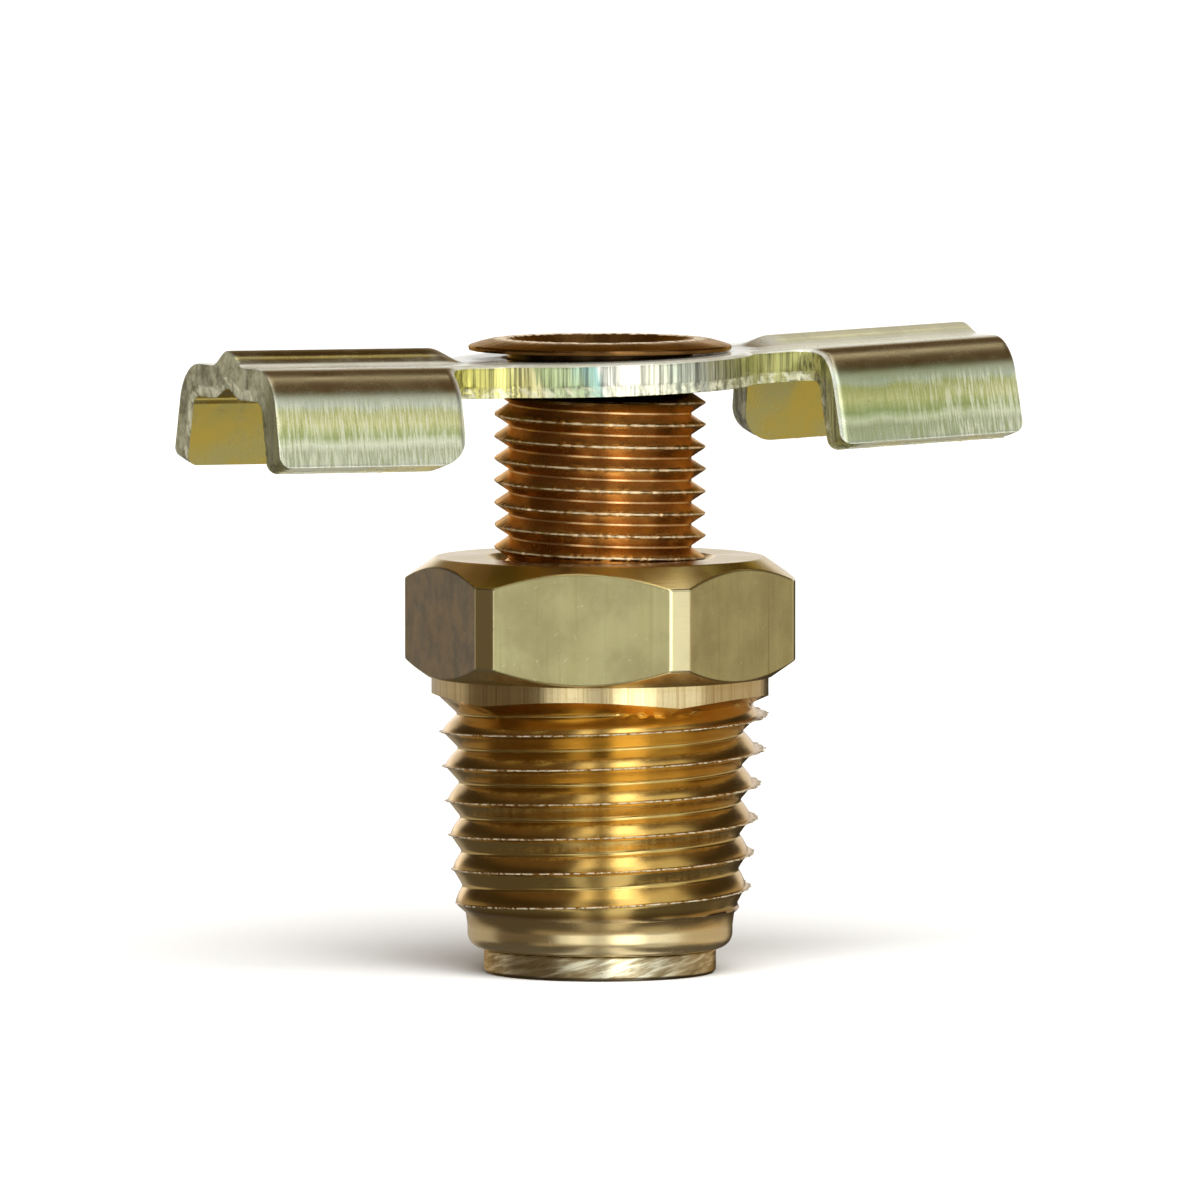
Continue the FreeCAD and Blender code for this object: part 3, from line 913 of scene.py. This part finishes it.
def wingBlank(columns):  # neck, notch and channel of the +X wing in the flat, from the fold to its end
    share = across(columns)
    neckU = np.linspace(neckStart(), handle["notchStart"], 6)
    neck = np.broadcast_arrays(neckU[:, None], handle["neckHalf"] * share[None, :])
    swing = np.linspace(0.0, np.pi / 2, 10)
    notchU = handle["notchStart"] + handle["notchRound"] * np.sin(swing)
    width = handle["neckHalf"] + handle["notchRound"] * (1 - np.cos(swing))
    notch = np.broadcast_arrays(notchU[:, None], width[:, None] * share[None, :])
    start = handle["wingStart"]
    end = handle["wingReach"]
    webHalf = handle["neckHalf"] + handle["notchRound"]
    blank = handle["blankHalf"]
    big = handle["largeCorner"]
    small = handle["smallCorner"]
    cornerRise = np.sin(np.linspace(0, np.pi / 2, 7))
    wingU = np.concatenate([
        start + small * cornerRise,
        np.linspace(start + small, start + big, 8)[1:],
        np.linspace(start + big, end - small, 30)[1:],
        end - small * cornerRise[::-1][1:],
    ])
    sideT = np.concatenate([
        np.linspace(webHalf, blank - big, 16)[1:],
        np.linspace(blank - big, blank - small, 8)[1:],
        blank - small * (1 - cornerRise[1:]),
    ])
    wingT = np.concatenate([-sideT[::-1], webHalf * share, sideT])
    u, t = np.meshgrid(wingU, wingT, indexing="ij")
    corners = ((start, 1, 1, big), (start, 1, -1, small), (end, -1, 1, small), (end, -1, -1, small))
    for cornerU, inward, side, size in corners:  # the square corner block pulled into a quarter circle
        a = ((cornerU + inward * size) - u) * inward / size  # 0 at the arc's centre line, 1 at the wing's end
        b = (t * side - (blank - size)) / size
        inside = (a > 0) & (b > 0)
        a = np.where(inside, a, 0.0)
        b = np.where(inside, b, 0.0)
        u = np.where(inside, cornerU + inward * size - inward * size * a * np.sqrt(1 - b * b / 2), u)
        t = np.where(inside, side * (blank - size + size * b * np.sqrt(1 - a * a / 2)), t)
    return [neck, notch, (u, t)]


def discBlank(columns):  # ring round the hole, out to the disc's edge, the fillets or the fold line
    fold = neckStart()
    neckAngles = np.arctan2(handle["neckHalf"] * across(columns), fold)
    filletY = handle["neckHalf"] + handle["neckFillet"]
    touch = np.arctan2(filletY, fold)
    first = np.linspace(neckAngles[-1], touch, 8)[1:]
    rim = np.linspace(touch, np.pi - touch, 121)[1:-1]
    second = np.pi - first[::-1]
    halfTurn = np.concatenate([neckAngles, first, rim, second[:-1]])
    angles = np.concatenate([halfTurn, halfTurn + np.pi, [halfTurn[0] + turn]])
    folded = np.abs((angles + np.pi / 2) % np.pi - np.pi / 2)
    centre = np.hypot(fold, filletY)
    off = folded - touch
    chord = np.maximum(handle["neckFillet"] ** 2 - (centre * np.sin(off)) ** 2, 0.0)
    outer = np.full_like(angles, handle["discRadius"])
    outer = np.where(folded < touch - 1e-9, centre * np.cos(off) - np.sqrt(chord), outer)
    outer = np.where(folded < neckAngles[-1] + 1e-9, fold / np.cos(folded), outer)
    near = np.array([0.0, 0.02, 0.06, 0.12, 0.2, 0.3, 0.45]) / 2.4  # rows close to the cut edges
    rows = np.concatenate([near, np.linspace(0.25, 0.75, 8), 1.0 - near[::-1]])
    radius = handle["holeRadius"] + rows[:, None] * (outer - handle["holeRadius"])[None, :]
    return radius * np.cos(angles)[None, :], radius * np.sin(angles)[None, :]


def edgeDistance(u, t):  # distance in the flat blank to its nearest cut edge, for the die's rounding
    fold = neckStart()
    u = np.abs(u)
    t = np.where(u > fold, t, np.abs(t))
    side = np.abs(t)
    radius = np.hypot(u, side)
    filletY = handle["neckHalf"] + handle["neckFillet"]
    filletGap = np.hypot(u - fold, side - filletY) - handle["neckFillet"]
    onRim = np.arctan2(side, u) > np.arctan2(filletY, fold)
    disc = np.where(onRim, handle["discRadius"] - radius, filletGap)
    disc = np.minimum(disc, radius - handle["holeRadius"])
    neck = handle["neckHalf"] - side
    webHalf = handle["neckHalf"] + handle["notchRound"]
    notch = np.hypot(u - handle["notchStart"], side - webHalf) - handle["notchRound"]
    inner = np.where(side < webHalf, notch, u - handle["wingStart"])
    blank = handle["blankHalf"]
    toEnd = handle["wingReach"] - u + handle["endRelief"]
    wing = np.minimum(np.minimum(inner, toEnd), blank - side + handle["footRelief"])
    big = handle["largeCorner"]
    arc = big - np.hypot(u - handle["wingStart"] - big, t - blank + big)
    wing = np.where((u < handle["wingStart"] + big) & (t > blank - big), arc, wing)
    distance = np.where(u <= fold, disc, np.where(u < handle["notchStart"], neck, notch))
    return np.maximum(np.where(u < handle["wingStart"], distance, wing), 0.0)


def bentPlace(u, t, depth, lift):
    # blank to shape: flat web, round bend of the outer radius less the depth, leaning flange, then the fold
    bendAngle = np.radians(handle["bendAngle"])
    side = np.abs(t)
    past = np.clip((side - handle["bendStart"]) / handle["outerBend"], 0.0, bendAngle)
    straight = np.maximum(side - handle["bendStart"] - handle["outerBend"] * bendAngle, 0.0)
    inWing = u > handle["notchStart"] - 1e-9
    past = np.where(inWing, past, 0.0)
    straight = np.where(inWing, straight, 0.0)
    web = np.where(inWing, np.minimum(side, handle["bendStart"]), side)
    bendRadius = handle["outerBend"] - depth
    v = np.sign(t) * (web + bendRadius * np.sin(past) + straight * np.cos(bendAngle))
    w = bendRadius * np.cos(past) - handle["outerBend"] - straight * np.sin(bendAngle) + handle["sheet"]
    fold = neckStart()
    tilt = np.radians(lift)
    ahead = u - fold
    newU = np.where(ahead > 0, fold + ahead * np.cos(tilt) - w * np.sin(tilt), u)
    newW = np.where(ahead > 0, w * np.cos(tilt) + ahead * np.sin(tilt), w)
    return newU, v, newW


def handlePlace(u, t, depth):  # to the part's frame: left wing half a turn round, then roll and pitch
    left = u < 0
    side = np.where(left, -1.0, 1.0)
    lift = np.where(left, handle["leftLift"], handle["rightLift"])
    x, y, z = bentPlace(np.abs(u), t * side, depth, lift)
    x = x * side
    y = y * side
    roll = np.radians(handle["roll"])
    y, z = y * np.cos(roll) - z * np.sin(roll), y * np.sin(roll) + z * np.cos(roll)
    pitch = np.radians(handle["pitch"])
    x, z = x * np.cos(pitch) + z * np.sin(pitch), -x * np.sin(pitch) + z * np.cos(pitch)
    return np.stack([x, y, z + handle["foot"]], axis=-1)


def beadRise(u, t, half, height, start):  # a swelling: power of a cosine across, smooth step at its start
    swell = np.cos(np.clip(np.abs(t) / half, 0.0, 1.0) * np.pi / 2) ** 2
    return height * swell ** 0.8 * ramp01(np.abs(u), start, start + handle["beadRun"])


def footOfBead(u, t):  # mask along the line where the bead rises from the web
    gap = (np.abs(t) - handle["beadHalf"] * handle["footPlace"]) / handle["footWidth"]
    return np.exp(-gap ** 2) * ramp01(np.abs(u), *handle["footStart"])


def flatBlank():  # the blank as one grid of quads: points met twice joined, faces all turned one way
    grids = [discBlank(handle["columns"])]
    for side in (1, -1):
        grids += [(u * side, t * side) for u, t in wingBlank(handle["columns"])]
    flatU = np.concatenate([u.ravel() for u, t in grids])
    flatT = np.concatenate([t.ravel() for u, t in grids])
    starts = np.cumsum([0] + [u.size for u, t in grids])
    faces = np.concatenate([gridFaces(*u.shape, s) for (u, t), s in zip(grids, starts)])
    keys = np.rint(np.stack([flatU, flatT], axis=-1) * 1e5)
    kept, where = np.unique(keys, axis=0, return_index=True, return_inverse=True)[1:]
    flatU = flatU[kept]
    flatT = flatT[kept]
    faces = where.reshape(-1)[faces]
    spanU = flatU[faces]
    spanT = flatT[faces]
    area = 0.5 * ((spanU[:, 2] - spanU[:, 0]) * (spanT[:, 3] - spanT[:, 1])
                  - (spanU[:, 3] - spanU[:, 1]) * (spanT[:, 2] - spanT[:, 0]))
    faces = np.where((area < 0)[:, None], faces[:, ::-1], faces)
    return flatU, flatT, faces[np.abs(area) > 1e-9]


def cutEdges(faces, flatU, flatT):  # points and ends of the edges with one face, each point's way outward
    edges = np.concatenate([faces[:, [0, 1]], faces[:, [1, 2]], faces[:, [2, 3]], faces[:, [3, 0]]])
    edges = edges[edges[:, 0] != edges[:, 1]]
    back, times = np.unique(np.sort(edges, axis=1), axis=0, return_inverse=True, return_counts=True)[1:]
    cut = edges[times[back.reshape(-1)] == 1]
    rimIndex = np.unique(cut)
    ends = np.searchsorted(rimIndex, cut)
    run = np.stack([flatU[cut[:, 1]] - flatU[cut[:, 0]], flatT[cut[:, 1]] - flatT[cut[:, 0]]], axis=-1)
    outward = np.stack([run[:, 1], -run[:, 0]], axis=-1)
    outward /= np.maximum(np.linalg.norm(outward, axis=1, keepdims=True), 1e-9)
    facing = np.zeros((len(rimIndex), 2))
    np.add.at(facing, ends[:, 0], outward)
    np.add.at(facing, ends[:, 1], outward)
    facing /= np.maximum(np.linalg.norm(facing, axis=1, keepdims=True), 1e-9)
    return rimIndex, ends, facing


def buildHandle(material):
    flatU, flatT, faces = flatBlank()
    count = len(flatU)
    near = edgeDistance(flatU, flatT)
    dip = handle["dieRoll"] * np.clip(1.0 - near / handle["dieRollWidth"], 0.0, 1.0) ** 2.2
    crown = np.where(flatU < 0, handle["leftBead"], handle["rightBead"])
    bead = beadRise(flatU, flatT, handle["beadHalf"], crown, handle["beadStart"])
    grooveStart = handle["beadStart"] + handle["grooveLag"]
    groove = beadRise(flatU, flatT, handle["grooveHalf"], handle["grooveDepth"], grooveStart)
    topDepth = dip - bead
    underDepth = handle["sheet"] - groove
    points = [handlePlace(flatU, flatT, topDepth), handlePlace(flatU, flatT, underDepth)]
    rimIndex, ends, facing = cutEdges(faces, flatU, flatT)
    rimCount = len(rimIndex)
    rimU = flatU[rimIndex]
    rimT = flatT[rimIndex]
    along = rimU * 1.7 + rimT * 2.3
    rough = unevenness(along, 1.5, 6.0, 31)
    shares = np.array(handle["cutRows"])
    torn = ramp01(shares, *handle["tornFrom"])  # smooth sheared band above, torn band below
    tornBack, tornRough = handle["tornBack"]
    for share, tear in zip(shares, torn):
        back = tear * (tornBack + tornRough * unevenness(along + 9 * share, 1, 5, 32))
        push = handle["cutPush"] - back + handle["cutRough"] * rough
        depth = topDepth[rimIndex] + share * (underDepth - topDepth)[rimIndex]
        points.append(handlePlace(rimU + facing[:, 0] * push, rimT + facing[:, 1] * push, depth))
    levels = [rimIndex]
    levels += [2 * count + k * rimCount + np.arange(rimCount) for k in range(len(shares))]
    levels.append(count + rimIndex)
    a, b = ends.T
    walls = [np.stack([high[a], low[a], low[b], high[b]], axis=-1) for high, low in zip(levels, levels[1:])]
    plain = np.zeros(count)
    bareWall = np.zeros(rimCount * len(shares))
    paleEdge = np.clip(1.0 - near / handle["wearWidth"], 0.0, 1.0)
    paleEdge = paleEdge * ramp01(np.abs(flatU), handle["notchStart"], handle["wingStart"])
    masks = {
        "sheared": np.concatenate([plain, plain, np.repeat(0.5 + 0.5 * torn, rimCount)]),
        "underside": np.concatenate([plain, plain + 1, np.repeat(shares, rimCount)]),
        "beadFoot": np.concatenate([footOfBead(flatU, flatT), plain, bareWall]),
        "paleEdge": np.concatenate([paleEdge, plain, bareWall]),
    }
    pattern = np.stack([flatU, flatT], axis=-1)
    rimPattern = [np.stack([rimU, rimT + share], axis=-1) for share in shares]
    return finishedPiece("wingHandle", np.concatenate(points),
                         np.concatenate([faces, faces[:, ::-1] + count] + walls), material, "wing_handle",
                         "handle", handle["sharpAngle"], masks,
                         np.concatenate([pattern, pattern] + rimPattern))


def handleZones(look, place):  # shares by the place on the flat sheet: X along the wings, Y across them
    along = look.calc("ABSOLUTE", place["X"])
    side = look.calc("ABSOLUTE", place["Y"])
    rightWing = look.ramp(place["X"], 6.0, 8.0)
    disc = look.ramp(along, 8.4, 7.4)
    beadSide = look.plateau(side, (0.60, 0.68), (0.82, 0.74))
    return {
        "along": along,
        "side": side,
        "fromNotch": look.calc("ABSOLUTE", look.calc("SUBTRACT", place["X"], handle["notchShade"])),
        "disc": disc,
        "pale": look.most(look.ramp(side, 3.5, 3.1), disc),
        "web": look.most(look.ramp(side, 2.9, 2.4), disc),
        "flange": look.ramp(side, 4.9, 5.6),
        "rightBeadSheen": look.times(rightWing, look.ramp(side, 1.4, 1.0)),
        "rightWebSheen": look.times(rightWing, look.plateau(side, (1.0, 1.3), (3.4, 3.0))),
        "gleam": look.times(beadSide, look.ramp(place["X"], -5.0, -8.0, 0.0, 0.28)),
        "lowEdgeSheen": look.plateau(along, (9.0, 9.6), (16.5, 16.1)),
        "nearSideShade": look.ramp(place["Y"], -3.2, -4.6, 0.0, 0.85),
        "nearEnd": look.times(look.ramp(along, 12.0, 14.0), look.ramp(place["Y"], -2.6, -4.2)),
    }


def filmAndLightColour(look, zones, stain, streak):  # bands across the sheet with painted highlights and painted shade in them, painted shade near the right wing's notch, painted sheen on the right wing's bead and web, with streaks (the pale ones lit as painted highlight), clouds and hairs
    side = zones["side"]
    wander = look.ramp(side, 2.6, 5.0, 0.04, 0.16)
    wavy = look.summed(side, (look.calc("SUBTRACT", stain["Cloud"], 0.5), wander))
    shade = look.times(look.ramp(zones["fromNotch"], 9.5, 3.0), look.ramp(side, 4.2, 4.8))
    bright = look.times(look.ramp(streak, 0.45, 0.62), zones["flange"])
    dark = look.times(look.ramp(streak, 0.48, 0.34), zones["flange"])
    # the film's colour bands, with painted highlights and painted shade in them
    bands = look.bands(look.calc("DIVIDE", wavy, 8.0), handle["filmAndLight"])
    return look.layers(
        # the right wing's flange darkened round the notch: painted shade
        look.mix(look.times(shade, 0.9), bands, (0.68, 0.72, 0.58), "MULTIPLY"),
        # the right wing's bead painted paler: painted sheen
        (look.times(zones["rightBeadSheen"], 0.65), (0.80, 0.82, 0.62)),
        # pale drawn streaks on the flanges, lightened as painted highlight, weaker near the right wing's
        # notch
        (look.times(bright, look.ramp(zones["fromNotch"], 0.5, 5.5, 0.15, 0.85)), (0.98, 0.96, 0.74)),
        (look.times(dark, 0.7), (0.42, 0.45, 0.17)),
        (zones["disc"], (0.70, 0.69, 0.60)),
        (look.times(zones["pale"], look.ramp(stain["Cloud"], 0.3, 0.9, 0.0, 0.5)), (0.52, 0.50, 0.36)),
        (look.times(zones["pale"], look.ramp(streak, 0.46, 0.34, 0.0, 0.35)), (0.40, 0.39, 0.30)),
        # the right wing's web painted paler: painted sheen
        (look.times(zones["rightWebSheen"], 0.6), (0.92, 0.93, 0.80)),
    )


def edgeColour(look, vector, flat, zones, cloud, shear, sheared):
    # the cut edge: bands of painted reflection round the disc, dull on the wings and darker on the near
    # flange as painted shade, pale along the flange's foot as a painted reflection of the floor, torn marks
    # below
    patches = look.lines(vector, (3.0, 3.0, 0.20))["Fine"]
    swept = look.summed(look.vector("DOT_PRODUCT", flat, (0.0715, -0.0348, 0.0)), (patches, 0.16))
    # bands of painted reflection and highlight round the disc's cut edge
    bands = look.bands(look.calc("ADD", swept, 0.42), handle["rimPaintedLight"])
    blotch = look.ramp(look.noise(vector, 1.4, 4.0, 0.7), 0.34, 0.66)
    dull = look.mix(blotch, (0.12, 0.12, 0.08), (0.48, 0.47, 0.34))
    # the near flange's cut edges darker: painted shade
    dull = look.mix(zones["nearSideShade"], dull, (0.10, 0.10, 0.05))
    slanted = look.stretched(look.turned(vector, (0.5, 0.5, 0.0)), (3.0, 3.0, 1.2))
    slanted = look.ramp(look.noise(slanted, 1.0, 3.0, 0.6), 0.42, 0.62, 0.1, 0.75)
    torn = look.times(look.ramp(sheared, 0.6, 0.95), slanted)
    return look.layers(
        look.mix(1.0, bands, look.ramp(shear, 0.38, 0.60, 0.30, 1.12), "MULTIPLY"),
        (look.ramp(zones["along"], 9.0, 12.0, 0.0, 0.85), dull),
        # pale band on the flanges' lower cut edges: painted reflection of the floor
        (look.times(zones["lowEdgeSheen"], 0.9), look.mix(cloud, (0.84, 0.86, 0.68), (0.86, 0.78, 0.40))),
        (look.times(torn, look.ramp(zones["nearEnd"], 0.0, 1.0, 1.0, 0.2)), (0.86, 0.85, 0.64)),
    )


def handleFinish():  # zinc with a yellow film that changes across the bend, with painted highlights and painted shade in its bands, drawn and sheared lines
    material, look, vector = newFinish("handleZinc")
    flat = look.add("ShaderNodeUVMap", uv_map="pattern").outputs[0]
    zones = handleZones(look, look.apart(flat))
    stain = look.tarnish(vector, 0.5, 3.2, 0.70)
    streak = look.lines(flat, (10.0, 0.7, 1.0))["Fine"]
    shear = look.lines(vector, (6.0, 6.0, 0.10))["Fine"]
    scratch = look.scratches(vector, 1.0, 0.72)
    sheared = look.mask("sheared")
    underside = look.mask("underside")
    paleEdge = look.mask("paleEdge")
    edge = edgeColour(look, vector, flat, zones, stain["Cloud"], shear, sheared)
    colour = look.layers(
        filmAndLightColour(look, zones, stain, streak),
        (underside, look.mix(stain["Cloud"], (0.74, 0.56, 0.12), (0.62, 0.55, 0.22))),
        (look.ramp(sheared, 0.1, 0.45), edge),
        (look.times(stain["Specks"], 0.55), (0.12, 0.11, 0.05)),
        (look.times(look.mask("beadFoot"), 0.3), (0.80, 0.79, 0.70)),
        (look.times(paleEdge, 0.7), (0.90, 0.92, 0.86)),
    )
    torn = look.ramp(sheared, 0.5, 1.0)
    rough = look.summed(0.22, (stain["Cloud"], 0.08), (zones["web"], -0.07), (torn, 0.16))
    relief = look.times(streak, zones["flange"])
    relief = look.summed(relief, (scratch, -0.3), (look.times(shear, 2.5), sheared))
    matt = look.times(zones["pale"], look.ramp(zones["side"], 0.95, 1.25))
    matt = look.most(matt, look.most(zones["gleam"], look.times(zones["rightBeadSheen"], 0.9)))
    matt = look.times(matt, look.ramp(underside, 0.2, 0.0))
    matt = look.most(matt, look.times(paleEdge, 0.8))
    metal = look.calc("MINIMUM", look.ramp(sheared, 0.1, 0.5, 1.0, 0.5), look.ramp(matt, 0.0, 1.0, 1.0, 0.50))
    look.finish(colour, rough, metal, relief, 0.35, 0.015)
    return material


# Studio: pale floor, soft panels worked out by direction, camera at the photograph's angle

studio = {
    "floorSize": 12.0,
    "floorColour": (0.90, 0.90, 0.90, 1),
    "cameraDistance": 630.0,
    "cameraPitch": 3.9,
    "lookAt": (0.0, 0.0, 15.25),
    "sensor": 36.0,
    "lens": 36.0 * 15402.0 / 1200.0,
    "sun": 3.9,
    "sunSpread": 60.0,
    "sunSide": 8.0,
    "sunHeight": 52.0,
    "stripAhead": ((-0.45, 2.0), 0.05),  # the strips end a little way behind the part; softness there
    "panels": [  # degrees right of the camera, degrees above the horizon, softness, strength, tint
        ((-181, 181), (-91, 91), 1, 0.05, (1.0, 0.78, 0.52)),
        ((-181, 181), (32, 95), 12, 0.08, (1.0, 0.62, 0.3)),
        ((-181, 181), (-95, -22), 8, 0.05, (1.0, 0.96, 0.88)),
        ((34, 72), (-42, -20), 8, 0.42, (1.0, 1.0, 0.86)),
        ((-176, -104), (-20, 9), 8, 0.38, (1.0, 0.92, 0.8)),
        ((-104, -38), (-16, 9), 8, 0.08, (1.0, 0.74, 0.46)),
        ((-62, 36), (-30, -16), 4, 0.24, (1.0, 0.82, 0.52)),
        ((70, 130), (-30, -16), 4, 0.24, (1.0, 0.82, 0.52)),
        ((-38, 74), (-16, 1), 3, 0.57, (0.98, 1.0, 0.96)),
        ((-38, -22), (-16, 1), 3, 0.35, (0.98, 1.0, 0.96)),
        ((-25, -9), (-20, 60), 5, 0.64, (0.96, 1.0, 0.98)),
        ((10, 38), (-20, 60), 2, 1.66, (0.96, 1.0, 0.98)),
        ((42, 74), (-16, 1), 4, 0.50, (0.96, 1.0, 1.0)),
        ((40, 76), (8, 45), 10, 0.70, (0.94, 1.0, 0.94)),
        ((74, 150), (-20, 9), 8, 0.46, (1.0, 0.88, 0.68)),
        ((150, 210), (0, 17), 5, 0.90, (1.0, 1.0, 1.0)),
        ((-210, -150), (0, 17), 5, 0.90, (1.0, 1.0, 1.0)),
        ((150, 210), (17, 40), 5, 0.18, (1.0, 0.74, 0.44)),
        ((-210, -150), (17, 40), 5, 0.18, (1.0, 0.74, 0.44)),
    ],
    "strips": [  # the same, with the share of the direction that points right in place of the degrees
        ((0.09, 0.33), (35, 95), 2, 1.15, (0.94, 1.0, 0.98)),
        ((-0.23, -0.09), (35, 95), 3, 0.76, (0.94, 1.0, 0.98)),
        ((0.09, 0.33), (-95, -35), 2, 0.92, (1.0, 1.0, 0.94)),
        ((-0.23, -0.09), (-95, -35), 3, 0.56, (1.0, 1.0, 0.94)),
    ],
}


def towards(side, height):  # direction at an angle round the part and a height, both in radians
    return Vector((np.cos(side) * np.cos(height), np.sin(side) * np.cos(height), np.sin(height)))


def placed(name, data):
    item = bpy.data.objects.new(name, data)
    bpy.context.scene.collection.objects.link(item)
    return item


def buildFloor():
    size = studio["floorSize"]
    mesh = bpy.data.meshes.new("floor")
    corners = [(-size, -size, 0), (size, -size, 0), (size, size, 0), (-size, size, 0)]
    mesh.from_pydata(corners, [], [(0, 1, 2, 3)])
    paper = bpy.data.materials.new("floorPaper")
    paper.use_nodes = True
    shader = paper.node_tree.nodes["Principled BSDF"]
    shader.inputs["Base Color"].default_value = studio["floorColour"]
    shader.inputs["Roughness"].default_value = 1.0
    shader.inputs["Specular IOR Level"].default_value = 0.0
    mesh.materials.append(paper)
    floor = placed("floor", mesh)
    floor.visible_glossy = False
    floor.visible_shadow = False


def buildLight():
    world = bpy.data.worlds.new("studio")
    bpy.context.scene.world = world
    world.use_nodes = True
    look = Look(world.node_tree)
    direction = look.add("ShaderNodeTexCoord").outputs["Generated"]
    toRight = look.vector("DOT_PRODUCT", direction, (-np.sin(cameraSide), np.cos(cameraSide), 0.0))
    toCamera = look.vector("DOT_PRODUCT", direction, (np.cos(cameraSide), np.sin(cameraSide), 0.0))
    sideways = look.times(look.calc("ARCTAN2", toRight, toCamera), 360 / turn)
    lifted = look.times(look.calc("ARCSINE", look.apart(direction)["Z"]), 360 / turn)
    ahead = (toCamera, *studio["stripAhead"])
    total = (0.0, 0.0, 0.0)
    for row in studio["panels"] + studio["strips"]:
        sides, heights, soft, share, tint = row
        limits = [(sideways, sides, soft)]
        if row in studio["strips"]:
            limits = [(toRight, sides, soft / 100), ahead]
        for value, (low, high), blur in limits + [(lifted, heights, soft)]:
            half = blur / 2
            inside = look.plateau(value, (low - half, low + half), (high + half, high - half))
            share = look.times(inside, share)
        total = look.vector("ADD", total, look.vector("SCALE", tint, Scale=share))
    look.feed(look.tree.nodes["Background"].inputs["Color"], total)
    lamp = bpy.data.lights.new("sun", "SUN")
    lamp.energy = studio["sun"]
    lamp.angle = np.radians(studio["sunSpread"])
    toSun = towards(cameraSide + np.radians(studio["sunSide"]), np.radians(studio["sunHeight"]))
    sun = placed("sun", lamp)
    sun.rotation_euler = toSun.to_track_quat("Z", "Y").to_euler()
    sun.location = toSun
    sun.visible_glossy = False


def buildCamera():
    lens = bpy.data.cameras.new("camera")
    lens.sensor_width = studio["sensor"]
    lens.lens = studio["lens"]
    lens.clip_start = 0.01
    away = towards(cameraSide, np.radians(studio["cameraPitch"]))
    camera = placed("camera", lens)
    camera.location = Vector(studio["lookAt"]) * mm + away * studio["cameraDistance"] * mm
    camera.rotation_euler = away.to_track_quat("Z", "Y").to_euler()
    bpy.context.scene.camera = camera
    bpy.context.scene.view_settings.view_transform = "Standard"


buildBody(bodyFinish())
buildStem(stemFinish())
buildHandle(handleFinish())
buildFloor()
buildLight()
buildCamera()
print("studio built")
